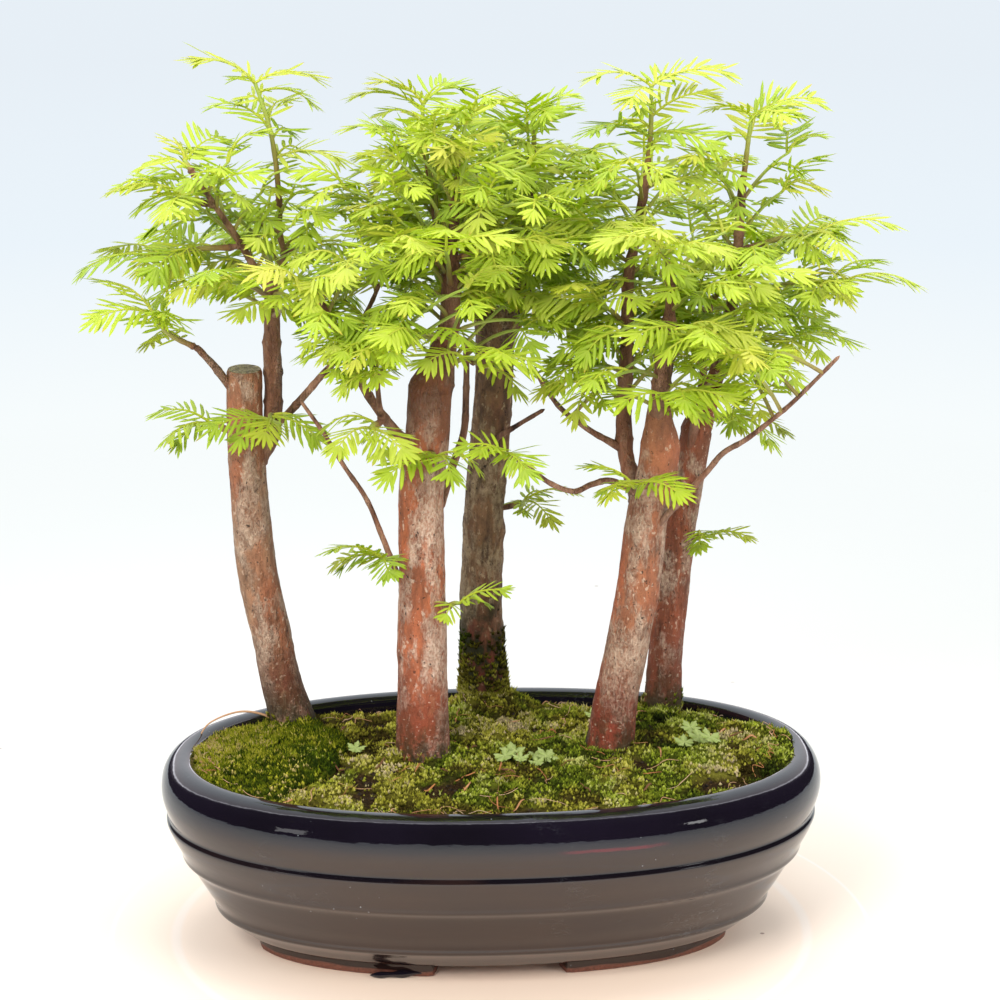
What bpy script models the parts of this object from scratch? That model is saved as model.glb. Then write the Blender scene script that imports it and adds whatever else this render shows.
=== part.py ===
"""Dawn redwood forest planted in an oval glazed tray.

Five trunks stand in plain holes in the soil of a shallow oval tray. Each trunk carries its
leaders, branches and short woody spurs in one solid. Every leafy shoot is a solid of its own: a
slim stem with flat feather sprays of needles. All sizes below are in millimetres, measured from
the middle of the tray's footprint, with X along the tray, Y to the back and Z up. At the end the
whole object is moved so that the world origin is at the middle of its bounding box's base.
"""

import math
from dataclasses import dataclass

import bpy
import numpy as np

MM = 0.001
CLEARANCE = 0.35
UP = np.array([0.0, 0.0, 1.0])

# Tray
TRAY_LENGTH = 210.0
TRAY_DEPTH = 136.0
TRAY_ROUNDNESS = 2.2
TRAY_FACETS = 32
TRAY_OUTSIDE = (
    (25.5, 5.0), (20.4, 9.2), (17.6, 12.0), (16.2, 14.6), (9.4, 26.4),
    (7.2, 29.8), (5.4, 32.6), (1.6, 42.0), (0.2, 49.0), (0.3, 54.5),
    (1.6, 58.2), (4.4, 60.0), (7.6, 58.8), (9.2, 56.0),
)
TRAY_INSIDE = ((10.2, 48.0), (12.6, 34.0), (27.0, 11.5), (32.0, 10.0))
TRAY_FLOOR = 10.0
FOOT_HEIGHT = 7.0
FOOT_OUTER_INSET = 28.6
FOOT_INNER_INSET = 36.0
FOOT_SPLAY = 1.2
FOOT_GAP_FRONT = 21.0
FOOT_GAP_END = 11.0
FOOT_FACETS = 5
DRAIN_RADIUS = 8.0
DRAIN_SPACING = 80.0
DRAIN_FACETS = 12
SCREEN_SIDE = 22.0
SCREEN_THICKNESS = 1.0
SCREEN_BAR = 1.9
SCREEN_HOLES = 2

# Soil and moss
SOIL_TOP_INSET = 10.9
SOIL_RINGS = (1.0, 0.66, 0.3)
SOIL_WALL_GAP = 0.28
MOSS_RINGS = (1.0, 0.92, 0.74, 0.53, 0.3)
MOSS_EDGE_HEIGHT = 56.0
MOSS_FALL_TO_BACK = 0.022
MOSS_CROWN_HEIGHT = 62.6
MOSS_THICKNESS = 3.4
MOSS_RELIEF = 0.9
MOSS_EDGE_DROP = 1.2
BACK_HEAP = (0.0, 46.0, 5.0, 150.0)
RIGHT_HEAP = (50.0, 16.0, 2.2, 260.0)
CUSHION_CENTRE = (-71.0, 3.0)
CUSHION_RADII = (23.0, 31.0)
CUSHION_RISE = 4.2
CUSHION_FACETS = 24
CUSHION_CUT_LEVELS = (30.0, 90.0)

# Trunks
TRUNK_SIDES = 9
LEADER_SIDES = 5
TWIG_SIDES = 4
ROOT_FLARE_FADE = 14.0
TRUNK_HOLE_TOP = 110.0
SPUR_RADIUS = 1.0
SPUR_STAND_OFF = 1.7
BUTT_GAP = 0.3

# Foliage
STEM_SIDES = 4
STEM_TIP_RADIUS = 0.75
SPRAY_LENGTH = 27.0
SIDE_SPRAY_LENGTH = 24.5
SPRAY_ARCH = 0.09
RIB_WIDTH = 1.1
RIB_THICKNESS = 0.75
RIB_ROOT = 2.6
NEEDLE_LENGTH = 12.0
NEEDLE_DROOP = 0.16
PAIR_SPACING = 5.5
FEWEST_PAIRS = 4
MOST_PAIRS = 5
FIRST_SIDE_SPRAY = 0.92
SIDE_SPRAY_SPAN = 0.62
SIDE_SPRAY_ANGLE = math.radians(54.0)
SPRAY_TRIES = 26
SPRAY_CLEARANCE = 0.25
NEIGHBOUR_REACH = 48.0


@dataclass(frozen=True)
class Limb:
    """A trunk, leader, branch or woody twig: a route with its radius at both ends."""

    route: tuple
    start_radius: float
    end_radius: float
    sides: int = LEADER_SIDES
    rings: int = 7
    flare: float = 0.0


@dataclass(frozen=True)
class Shoot:
    """A leafy stem: the point where it leaves the wood, its stem, and where its sprays end."""

    name: str
    tree: int
    root: tuple
    tips: tuple
    sides: int = 2
    stem: tuple = ()
    extra: tuple = ()


TREES = (
    ("tree_left", (
        Limb(((-58, 27, 34), (-60, 28, 46), (-62, 28, 60), (-66, 28, 76), (-69, 27, 93), (-73, 26, 114),
              (-75, 25, 138), (-76, 24, 158), (-76, 23, 181)), 6.9, 5.5, TRUNK_SIDES, 8, 0.9),
        Limb(((-74, 25, 150), (-68, 26, 160), (-67, 26, 173), (-67, 26, 189), (-67, 26, 209)), 3.4, 2.4),
        Limb(((-67, 26, 206), (-63, 26, 214), (-64, 26, 223), (-64, 26, 232)), 1.9, 1.2, TWIG_SIDES, 4),
        Limb(((-67, 26, 206), (-71, 25, 211), (-77, 20, 223), (-84, 15, 235), (-90, 12, 245)),
             1.9, 1.0, TWIG_SIDES, 5),
        Limb(((-71, 25, 158), (-63, 22, 166), (-53, 16, 179), (-45, 10, 190), (-38, 6, 203), (-34, 2, 213)),
             2.0, 0.9, TWIG_SIDES, 6),
        Limb(((-76, 24, 170), (-80, 23, 175), (-85, 18, 183), (-90, 14, 190)), 2.4, 1.5, TWIG_SIDES, 4),
    )),
    ("tree_middle", (
        Limb(((-22, -5, 24), (-22, -5, 46), (-22, -5, 62), (-22, -5, 80), (-22, -4, 99), (-22, -3, 125),
              (-22, -2, 145), (-20, -1, 164), (-19, -1, 179)), 8.3, 6.8, TRUNK_SIDES, 8, 0.9),
        Limb(((-19, -1, 166), (-16, -1, 175), (-14, -1, 189), (-13, -1, 204), (-12, -1, 222), (-11, -1, 240)),
             3.0, 1.4),
        Limb(((-13, -1, 208), (-14, 4, 215), (-16, 10, 226), (-18, 13, 243)), 1.8, 1.1, TWIG_SIDES, 4),
        Limb(((-22, -2, 132), (-16, 3, 141), (-12, 9, 151), (-8, 11, 162), (-7, 13, 175), (-7, 13, 190)),
             2.1, 1.3, TWIG_SIDES, 6),
        Limb(((-21, -2, 157), (-27, -4, 164), (-33, -7, 172), (-40, -11, 184), (-46, -13, 197),
              (-54, -17, 215)), 2.6, 1.1, TWIG_SIDES, 6),
        Limb(((-22, -3, 111), (-29, -4, 120), (-34, -5, 133), (-39, -5, 146), (-46, -5, 157),
              (-52, -3, 167), (-59, -1, 177)), 1.5, 0.8, TWIG_SIDES, 7),
        Limb(((-34, -7, 172), (-35, -13, 177), (-36, -17, 188), (-37, -17, 201)), 1.4, 0.8, TWIG_SIDES, 4),
    )),
    ("tree_back", (
        Limb(((1, 41, 34), (1, 44, 47), (1, 47, 60), (0, 47, 82), (0, 46, 103), (1, 45, 130), (3, 45, 154),
              (4, 45, 173), (4, 45, 188)), 7.2, 6.0, TRUNK_SIDES, 8, 1.6),
        Limb(((3, 45, 175), (1, 46, 186), (-2, 47, 197), (-4, 49, 211), (-5, 49, 225)), 3.0, 1.4),
        Limb(((4, 45, 174), (8, 45, 184), (12, 45, 192), (14, 43, 206), (15, 41, 226), (15, 40, 240)),
             3.0, 1.4),
        Limb(((2, 45, 144), (3, 40, 151), (11, 35, 158), (19, 31, 164)), 1.7, 0.9, TWIG_SIDES, 4),
    )),
    ("tree_right", (
        Limb(((28, -2, 24), (33, -3, 44), (37, -3, 62), (39, -3, 78), (43, -3, 98), (46, -4, 118),
              (48, -5, 138), (51, -5, 152), (52, -5, 161)), 7.4, 6.2, TRUNK_SIDES, 8, 0.9),
        Limb(((47, -4, 140), (44, 0, 149), (42, 4, 158), (42, 7, 172), (43, 9, 192), (43, 11, 209),
              (46, 12, 226), (49, 13, 244)), 2.8, 1.3, LEADER_SIDES, 8),
        Limb(((51, -5, 152), (51, -7, 164), (51, -9, 177), (53, -11, 194), (54, -11, 209), (54, -11, 222)),
             2.9, 1.3),
        Limb(((48, -5, 144), (37, -11, 152), (30, -17, 153), (24, -21, 152), (17, -23, 155), (11, -25, 160),
              (5, -27, 165)), 1.6, 0.9, TWIG_SIDES, 7),
        Limb(((42, 4, 158), (33, 4, 163), (27, 1, 168), (20, -3, 175), (12, -5, 188)),
             1.5, 0.9, TWIG_SIDES, 5),
        Limb(((47, -5, 131), (54, -11, 141), (65, -15, 155), (70, -17, 162), (77, -19, 167), (85, -21, 174),
              (91, -23, 180), (104, -27, 195)), 1.6, 0.8, TWIG_SIDES, 8),
    )),
    ("tree_end", (
        Limb(((55, 32, 34), (56, 34, 46), (58, 36, 60), (59, 36, 81), (61, 36, 101), (63, 36, 122),
              (66, 36, 142), (68, 36, 154)), 5.9, 4.9, TRUNK_SIDES, 8, 0.9),
        Limb(((67, 36, 146), (73, 36, 167), (76, 36, 181), (79, 36, 197), (80, 34, 214), (81, 31, 236)),
             2.7, 1.3, LEADER_SIDES, 7),
        Limb(((66, 36, 142), (66, 33, 150), (68, 28, 167), (69, 22, 185), (70, 18, 202)), 2.3, 1.3),
    )),
)

SHOOTS = (
    Shoot("shoot_left_top", 0, (-64, 26, 232), ((-92, 20, 282), (-49, 32, 273)), 2,
          ((-65, 26, 246), (-67, 26, 258), (-71, 26, 271)), ((0.35, (-42, 20, 249)),)),
    Shoot("shoot_left_leader_end", 0, (-90, 12, 245), ((-100, 21, 259),), 1),
    Shoot("shoot_left_west_high", 0, (-84, 15, 235), ((-116, 2, 246),), 2),
    Shoot("shoot_left_west", 0, (-76, 21, 221), ((-129, 14, 216),), 2),
    Shoot("shoot_left_west_back", 0, (-67, 26, 211), ((-109, 49, 221),), 2),
    Shoot("shoot_left_low_west", 0, (-90, 14, 190), ((-125, 0, 205),), 2, ((-99, 10, 196), (-104, 7, 203))),
    Shoot("shoot_left_back", 0, (-66, 26, 207), ((-54, 85, 222), (-91, 80, 212)), 2,
          ((-68, 44, 211), (-70, 59, 214))),
    Shoot("shoot_left_front", 0, (-67, 26, 203), ((-88, -33, 226),), 2),
    Shoot("shoot_left_front_east", 0, (-67, 26, 197), ((-57, -33, 216),), 2),
    Shoot("shoot_left_east", 0, (-63, 26, 218), ((-33, 8, 221),), 2),
    Shoot("shoot_left_low_back", 0, (-76, 24, 159), ((-106, 40, 166),), 1),
    Shoot("shoot_left_low_front", 0, (-68, 25, 166), ((-70, -19, 171),), 2),

    Shoot("shoot_middle_top", 1, (-11, -1, 240), ((-18, -14, 273), (5, -11, 275)), 2,
          ((-10, -2, 252), (-8, -3, 263))),
    Shoot("shoot_middle_second_top", 1, (-18, 13, 243), ((-36, 9, 277), (-9, 27, 273)), 1,
          ((-20, 15, 256), (-20, 15, 266)), ((0.3, (-45, 18, 261)),)),
    Shoot("shoot_middle_west", 1, (-13, -1, 217), ((-45, -17, 239),), 2),
    Shoot("shoot_middle_far_west", 1, (-54, -17, 215), ((-75, -38, 230),), 2),
    Shoot("shoot_middle_front", 1, (-13, -1, 212), ((-18, -59, 245),), 2),
    Shoot("shoot_middle_front_low", 1, (-14, -1, 196), ((-36, -54, 211),), 2),
    Shoot("shoot_middle_front_right", 1, (-15, -1, 187), ((0, -53, 205),), 2),
    Shoot("shoot_middle_east", 1, (-12, -1, 221), ((20, -26, 232),), 2),
    Shoot("shoot_middle_low_left", 1, (-22, -3, 123), ((-55, -24, 137),), 2),
    Shoot("shoot_middle_low_right", 1, (-22, -5, 108), ((6, -19, 121),), 0),
    Shoot("shoot_middle_branch", 1, (-33, -7, 172), ((-52, -31, 169),), 1),
    Shoot("shoot_middle_notch", 1, (-21, -2, 161), ((-14, -39, 163),), 1),
    Shoot("shoot_middle_right", 1, (-7, 13, 186), ((10, -9, 180),), 1),

    Shoot("shoot_back_top", 2, (15, 40, 240), ((2, 33, 266), (31, 43, 266)), 2, ((16, 39, 248), (16, 39, 257))),
    Shoot("shoot_back_left_top", 2, (-5, 49, 225), ((2, 53, 256), (-27, 50, 241)), 1, ((-3, 50, 233),)),
    Shoot("shoot_back_rear_left", 2, (-4, 49, 211), ((-18, 95, 212),), 2),
    Shoot("shoot_back_rear_right", 2, (15, 42, 220), ((30, 95, 223),), 2),
    Shoot("shoot_back_east", 2, (15, 42, 216), ((44, 50, 233),), 2),
    Shoot("shoot_back_east_low", 2, (13, 44, 197), ((41, 56, 183),), 2),
    Shoot("shoot_back_low", 2, (1, 45, 126), ((33, 40, 136),), 1),

    Shoot("shoot_right_top", 3, (49, 13, 244), ((28, 8, 277), (77, 17, 276)), 2,
          ((50, 13, 257), (50, 13, 271)), ((0.35, (26, -3, 262)), (0.4, (72, 0, 254)))),
    Shoot("shoot_right_west", 3, (45, 11, 220), ((13, -15, 244),), 2),
    Shoot("shoot_right_west_low", 3, (43, 9, 196), ((21, -29, 221),), 2),
    Shoot("shoot_right_front", 3, (54, -11, 217), ((43, -63, 245),), 2),
    Shoot("shoot_right_front_mid", 3, (53, -11, 199), ((60, -61, 211),), 2),
    Shoot("shoot_right_front_low", 3, (51, -9, 178), ((55, -57, 190),), 2),
    Shoot("shoot_right_low_left", 3, (5, -27, 165), ((-9, -47, 174),), 1),
    Shoot("shoot_right_low_fan", 3, (50, -5, 149), ((32, -49, 160),), 2),

    Shoot("shoot_end_top", 4, (81, 31, 236), ((67, 23, 264), (107, 33, 264)), 2, ((82, 29, 248), (83, 28, 258))),
    Shoot("shoot_end_east", 4, (80, 34, 214), ((130, 25, 226),), 3),
    Shoot("shoot_end_east_low", 4, (79, 36, 200), ((136, 15, 209),), 3),
    Shoot("shoot_end_south_east", 4, (76, 36, 183), ((116, 6, 192),), 2),
    Shoot("shoot_end_front", 4, (70, 18, 202), ((80, -35, 226),), 2),
    Shoot("shoot_end_back", 4, (79, 35, 206), ((100, 89, 214),), 2),
    Shoot("shoot_end_back_low", 4, (75, 36, 177), ((74, 91, 176),), 2),
    Shoot("shoot_end_low", 4, (63, 36, 119), ((87, 20, 124),), 1),
    Shoot("shoot_end_low_back", 4, (71, 36, 160), ((102, 44, 152),), 2),
)

COLOURS = {
    "glaze": ((0.012, 0.014, 0.028), 0.12),
    "clay": ((0.35, 0.13, 0.07), 0.85),
    "screen": ((0.03, 0.03, 0.03), 0.6),
    "soil": ((0.045, 0.03, 0.02), 0.95),
    "moss": ((0.10, 0.17, 0.025), 0.95),
    "cushion": ((0.20, 0.33, 0.03), 0.95),
    "bark": ((0.27, 0.11, 0.06), 0.85),
    "foliage": ((0.42, 0.62, 0.06), 0.6),
}


def unit(vector):
    """The vector at length one."""
    return vector / max(np.linalg.norm(vector), 1e-9)


def turned(vector, axis, angle):
    """The vector turned about a unit axis."""
    along = axis * np.dot(axis, vector)
    return along + (vector - along) * math.cos(angle) + np.cross(axis, vector) * math.sin(angle)


def make_material(name):
    """A Principled BSDF material with the sub-part's colour and roughness."""
    colour, roughness = COLOURS[name]
    material = bpy.data.materials.get(name)
    if material is None:
        material = bpy.data.materials.new(name)
        material.use_nodes = True
        shader = material.node_tree.nodes["Principled BSDF"]
        shader.inputs["Base Color"].default_value = (*colour, 1.0)
        shader.inputs["Roughness"].default_value = roughness
        material.diffuse_color = (*colour, 1.0)
    return material


def make_object(name, points, faces, material, smooth=True, link=True):
    """A mesh object from points in millimetres."""
    mesh = bpy.data.meshes.new(name)
    mesh.from_pydata((np.asarray(points, float) * MM).tolist(), [], faces)
    mesh.update()
    mesh.materials.append(make_material(material))
    if smooth:
        mesh.shade_smooth()
        mesh.set_sharp_from_angle(angle=math.radians(40))
    built = bpy.data.objects.new(name, mesh)
    if link:
        bpy.context.scene.collection.objects.link(built)
    return built


def joined_rings(rings, cap_start=True, cap_end=True, split=None):
    """Points and faces of a skin through rings that run anticlockwise, seen from their end.

    Where split is given, it names for each band which diagonal parts its four-sided faces.
    """
    count = len(rings[0])
    points = np.concatenate(rings)
    faces = []
    for level in range(len(rings) - 1):
        low, high = level * count, (level + 1) * count
        for i in range(count):
            j = (i + 1) % count
            quad = (low + i, low + j, high + j, high + i)
            if split is None:
                faces.append(quad)
            elif split[level]:
                faces += [quad[:3], (quad[0], quad[2], quad[3])]
            else:
                faces += [(quad[0], quad[1], quad[3]), quad[1:]]
    if cap_start:
        faces.append(tuple(range(count - 1, -1, -1)))
    if cap_end:
        last = (len(rings) - 1) * count
        faces.append(tuple(range(last, last + count)))
    return points, faces


def apply_boolean(target, operation, cutter=None, collection=None, solver="EXACT"):
    """Joins or cuts the target for good, then removes the objects it used."""
    modifier = target.modifiers.new(operation.title(), "BOOLEAN")
    modifier.operation = operation
    modifier.solver = solver
    if collection is None:
        modifier.object = cutter
    else:
        modifier.operand_type = "COLLECTION"
        modifier.collection = collection
    graph = bpy.context.evaluated_depsgraph_get()
    result = bpy.data.meshes.new_from_object(target.evaluated_get(graph))
    target.modifiers.clear()
    target.data = result
    used = [cutter] if collection is None else list(collection.objects)
    for piece in used:
        bpy.data.objects.remove(piece, do_unlink=True)
    if collection is not None:
        bpy.data.collections.remove(collection)


def fuse(target, pieces, solver="EXACT"):
    """Joins the pieces to the target with one union on a collection."""
    if not pieces:
        return
    collection = bpy.data.collections.new(target.name + "_parts")
    bpy.context.scene.collection.children.link(collection)
    for piece in pieces:
        bpy.context.scene.collection.objects.unlink(piece)
        collection.objects.link(piece)
    apply_boolean(target, "UNION", collection=collection, solver=solver)


def oval(inset, height, count=TRAY_FACETS):
    """A ring of the tray's oval, pulled in by the inset."""
    angle = np.linspace(0.0, 2.0 * np.pi, count, endpoint=False)
    power = 2.0 / TRAY_ROUNDNESS
    cosine, sine = np.cos(angle), np.sin(angle)
    x = (TRAY_LENGTH / 2 - inset) * np.sign(cosine) * np.abs(cosine) ** power
    y = (TRAY_DEPTH / 2 - inset) * np.sign(sine) * np.abs(sine) ** power
    return np.stack([x, y, np.full(count, float(height))], axis=1)


def make_foot(name, start, end):
    """One foot: a stretch of the foot ring between two angles, its lower end splayed in."""
    angle = np.linspace(start, end, FOOT_FACETS + 1)
    power = 2.0 / TRAY_ROUNDNESS

    def edge(inset, height):
        cosine, sine = np.cos(angle), np.sin(angle)
        x = (TRAY_LENGTH / 2 - inset) * np.sign(cosine) * np.abs(cosine) ** power
        y = (TRAY_DEPTH / 2 - inset) * np.sign(sine) * np.abs(sine) ** power
        return np.stack([x, y, np.full(len(angle), height)], axis=1)

    sections = np.stack([
        edge(FOOT_OUTER_INSET, 0.0),
        edge(FOOT_OUTER_INSET - FOOT_SPLAY, FOOT_HEIGHT),
        edge(FOOT_INNER_INSET, FOOT_HEIGHT),
        edge(FOOT_INNER_INSET, 0.0),
    ], axis=1)
    points, faces = joined_rings(list(sections))
    faces = [face[::-1] for face in faces]
    return make_object(name, points, faces, "clay", smooth=False)


def make_cylinder(name, centre, radius, low, high, facets, material):
    """An upright cylinder."""
    angle = np.linspace(0.0, 2.0 * np.pi, facets, endpoint=False)
    circle = np.stack([centre[0] + radius * np.cos(angle), centre[1] + radius * np.sin(angle)], axis=1)
    rings = [np.column_stack([circle, np.full(facets, level)]) for level in (low, high)]
    points, faces = joined_rings(rings)
    return make_object(name, points, faces, material)


def make_box(name, low, high, material):
    """A box between two corners."""
    (x0, y0, z0), (x1, y1, z1) = low, high
    rings = [np.array([(x0, y0, z), (x1, y0, z), (x1, y1, z), (x0, y1, z)], float) for z in (z0, z1)]
    points, faces = joined_rings(rings)
    return make_object(name, points, faces, material, smooth=False)


def drain_centres():
    """The middles of the two drain holes."""
    return ((-DRAIN_SPACING / 2, 0.0), (DRAIN_SPACING / 2, 0.0))


def make_tray():
    """The glazed bowl with its rolled lip, its ridged wall, its four feet and two drain holes."""
    rings = [oval(inset, height) for inset, height in TRAY_OUTSIDE + TRAY_INSIDE]
    points, faces = joined_rings(rings)
    tray = make_object("tray", points, faces, "glaze")
    half_length = TRAY_LENGTH / 2 - FOOT_OUTER_INSET
    half_depth = TRAY_DEPTH / 2 - FOOT_OUTER_INSET
    near_end = math.asin((FOOT_GAP_END / half_depth) ** (TRAY_ROUNDNESS / 2))
    near_front = math.acos((FOOT_GAP_FRONT / half_length) ** (TRAY_ROUNDNESS / 2))
    feet = []
    for side, (start, end) in enumerate((
        (near_end, near_front),
        (math.pi - near_front, math.pi - near_end),
        (math.pi + near_end, math.pi + near_front),
        (-near_front, -near_end),
    )):
        feet.append(make_foot(f"foot_{side}", start, end))
    fuse(tray, feet)
    for side, centre in enumerate(drain_centres()):
        drill = make_cylinder(f"drill_{side}", centre, DRAIN_RADIUS, 0.0, TRAY_FLOOR + 5, DRAIN_FACETS, "clay")
        apply_boolean(tray, "DIFFERENCE", cutter=drill)
    tray.data.shade_smooth()
    tray.data.set_sharp_from_angle(angle=math.radians(40))


def make_drain_screens():
    """A square of coarse plastic net over each drain hole."""
    pitch = (SCREEN_SIDE - SCREEN_BAR) / SCREEN_HOLES
    low = TRAY_FLOOR + CLEARANCE
    for name, (x, y) in zip(("drain_screen_left", "drain_screen_right"), drain_centres()):
        half = SCREEN_SIDE / 2
        screen = make_box(name, (x - half, y - half, low), (x + half, y + half, low + SCREEN_THICKNESS), "screen")
        cutters = bpy.data.collections.new(name + "_holes")
        bpy.context.scene.collection.children.link(cutters)
        for row in range(SCREEN_HOLES):
            for column in range(SCREEN_HOLES):
                left = x - half + SCREEN_BAR + column * pitch
                front = y - half + SCREEN_BAR + row * pitch
                size = pitch - SCREEN_BAR
                hole = make_box("hole", (left, front, low - 1), (left + size, front + size, low + 2), "screen")
                bpy.context.scene.collection.objects.unlink(hole)
                cutters.objects.link(hole)
        apply_boolean(screen, "DIFFERENCE", collection=cutters)


def moss_surface(x, y):
    """Height of the moss: low at the rim, crowned in the middle, heaped round the back trunk."""
    half_length, half_depth = TRAY_LENGTH / 2 - SOIL_TOP_INSET, TRAY_DEPTH / 2 - SOIL_TOP_INSET
    spread = np.clip(np.abs(x / half_length) ** TRAY_ROUNDNESS + np.abs(y / half_depth) ** TRAY_ROUNDNESS, 0, 1)
    edge = MOSS_EDGE_HEIGHT - MOSS_FALL_TO_BACK * y
    level = edge + (MOSS_CROWN_HEIGHT - edge) * (1.0 - spread) ** 0.7
    for across, back, rise, breadth in (BACK_HEAP, RIGHT_HEAP):
        level = level + rise * np.exp(-((x - across) ** 2 + (y - back) ** 2) / breadth)
    return level


def moss_relief(x, y):
    """The lumps of the moss, from crossed waves."""
    coarse = np.sin(0.21 * x + 1.4 * np.sin(0.11 * y)) * np.sin(0.26 * y + 1.1 * np.sin(0.13 * x) + 0.7)
    fine = np.sin(0.55 * x + 0.31 * y) * np.sin(0.47 * y - 0.29 * x + 1.9)
    return MOSS_RELIEF * (coarse + 0.6 * fine)


def cushion_rise(x, y):
    """How far the bright cushion stands over the moss around it."""
    spread = ((x - CUSHION_CENTRE[0]) / CUSHION_RADII[0]) ** 2 + ((y - CUSHION_CENTRE[1]) / CUSHION_RADII[1]) ** 2
    return CUSHION_RISE * np.clip(1.12 - spread, 0.0, 1.0) ** 0.55


def plan_rings(fractions):
    """Rings of the tray's oval shrunk towards its middle, without heights."""
    edge = oval(SOIL_TOP_INSET, 0.0)[:, :2]
    return [edge * fraction for fraction in fractions]


def with_height(ring, heights):
    """A ring of plan points given heights."""
    return np.column_stack([ring, heights])


def closed_top(points, faces, ring_start, apex, facing_up=True):
    """Adds an apex and a fan of triangles over the innermost ring."""
    points = np.vstack([points, apex])
    top = len(points) - 1
    for i in range(TRAY_FACETS):
        j = (i + 1) % TRAY_FACETS
        fan = (ring_start + i, ring_start + j, top)
        faces.append(fan if facing_up else fan[::-1])
    return points, faces


def make_soil(holes):
    """The soil: it fills the bowl up to just under the moss."""
    wall = [oval(inset + SOIL_WALL_GAP, height + CLEARANCE) for inset, height in reversed(TRAY_INSIDE[1:3])]
    top = []
    for ring in plan_rings(SOIL_RINGS):
        top.append(with_height(ring, moss_surface(ring[:, 0], ring[:, 1]) - MOSS_THICKNESS))
    points, faces = joined_rings(wall + top, cap_end=False, split=[True] * (len(wall) + len(top) - 1))
    last = (len(wall) + len(top) - 1) * TRAY_FACETS
    apex = np.array([[0.0, 0.0, float(moss_surface(0.0, 0.0)) - MOSS_THICKNESS]])
    points, faces = closed_top(points, faces, last, apex)
    soil = make_object("soil", points, faces, "soil")
    pockets = []
    reach = SCREEN_SIDE / 2 + CLEARANCE
    for x, y in drain_centres():
        pockets.append(make_box("pocket", (x - reach, y - reach, TRAY_FLOOR - 1),
                                (x + reach, y + reach, TRAY_FLOOR + SCREEN_THICKNESS + 2 * CLEARANCE), "soil"))
    for cutter in pockets + holes:
        apply_boolean(soil, "DIFFERENCE", cutter=cutter)


def moss_layer(name, material, rise=None):
    """A closed layer from just over the soil to the relief of the moss."""
    bottom = []
    for ring in plan_rings(SOIL_RINGS):
        level = moss_surface(ring[:, 0], ring[:, 1]) - MOSS_THICKNESS + CLEARANCE
        bottom.append(with_height(ring, level))
    top = []
    for fraction, ring in zip(MOSS_RINGS, plan_rings(MOSS_RINGS)):
        x, y = ring[:, 0], ring[:, 1]
        level = moss_surface(x, y) + moss_relief(x, y) * min(1.0, 8.0 * (1.0 - fraction) + 0.4)
        if fraction == 1.0:
            level = level - MOSS_EDGE_DROP
        if rise is not None:
            level = level + rise(x, y)
        top.append(with_height(ring, level))
    rings = bottom[::-1] + top
    split = [False] * len(bottom) + [True] * (len(top) - 1)
    points, faces = joined_rings(rings, cap_start=False, cap_end=False, split=split)
    middle = float(moss_surface(0.0, 0.0))
    low = np.array([[0.0, 0.0, middle - MOSS_THICKNESS + CLEARANCE]])
    points, faces = closed_top(points, faces, 0, low, facing_up=False)
    last = (len(rings) - 1) * TRAY_FACETS
    high = np.array([[0.0, 0.0, middle + float(moss_relief(0.0, 0.0))]])
    points, faces = closed_top(points, faces, last, high)
    return make_object(name, points, faces, material)


def cushion_prism(growth):
    """An upright oval prism round the bright cushion."""
    angle = np.linspace(0.0, 2.0 * np.pi, CUSHION_FACETS, endpoint=False)
    wobble = 1.0 + 0.05 * np.sin(3 * angle + 0.6) + 0.03 * np.sin(5 * angle)
    x = CUSHION_CENTRE[0] + (CUSHION_RADII[0] * wobble + growth) * np.cos(angle)
    y = CUSHION_CENTRE[1] + (CUSHION_RADII[1] * wobble + growth) * np.sin(angle)
    rings = [np.stack([x, y, np.full(CUSHION_FACETS, level)], axis=1) for level in CUSHION_CUT_LEVELS]
    points, faces = joined_rings(rings)
    return make_object("cushion_prism", points, faces, "moss")


def make_moss(holes_for_carpet, holes_for_cushion):
    """The moss over the soil, and the bright raised cushion at its left end."""
    carpet = moss_layer("moss_carpet", "moss")
    apply_boolean(carpet, "DIFFERENCE", cutter=cushion_prism(CLEARANCE))
    for cutter in holes_for_carpet:
        apply_boolean(carpet, "DIFFERENCE", cutter=cutter)
    cushion = moss_layer("moss_cushion", "cushion", cushion_rise)
    apply_boolean(cushion, "INTERSECT", cutter=cushion_prism(0.0))
    for cutter in holes_for_cushion:
        apply_boolean(cushion, "DIFFERENCE", cutter=cutter)


def smooth_route(route, count):
    """Points at even spacing along a smooth curve through the route's points."""
    points = np.array(route, float)
    padded = np.vstack([2 * points[0] - points[1], points, 2 * points[-1] - points[-2]])
    curve = []
    for i in range(1, len(padded) - 2):
        a, b, c, d = padded[i - 1:i + 3]
        for t in np.linspace(0.0, 1.0, 8, endpoint=False):
            curve.append(0.5 * (2 * b + (c - a) * t + (2 * a - 5 * b + 4 * c - d) * t * t
                                + (3 * b - a - 3 * c + d) * t ** 3))
    curve.append(points[-1])
    curve = np.array(curve)
    steps = np.concatenate([[0.0], np.cumsum(np.linalg.norm(np.diff(curve, axis=0), axis=1))])
    wanted = np.linspace(0.0, steps[-1], count)
    return np.stack([np.interp(wanted, steps, curve[:, k]) for k in range(3)], axis=1)


def path_frames(points):
    """Tangent and two cross directions at each point, carried along without twist."""
    tangents = np.gradient(points, axis=0)
    tangents = tangents / np.linalg.norm(tangents, axis=1, keepdims=True)
    guide = np.array([0.0, 1.0, 0.0]) if abs(tangents[0][1]) < 0.9 else np.array([1.0, 0.0, 0.0])
    side = unit(np.cross(tangents[0], guide))
    frames = []
    for tangent in tangents:
        side = unit(side - tangent * np.dot(side, tangent))
        frames.append((tangent, side, np.cross(tangent, side)))
    return frames


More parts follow.
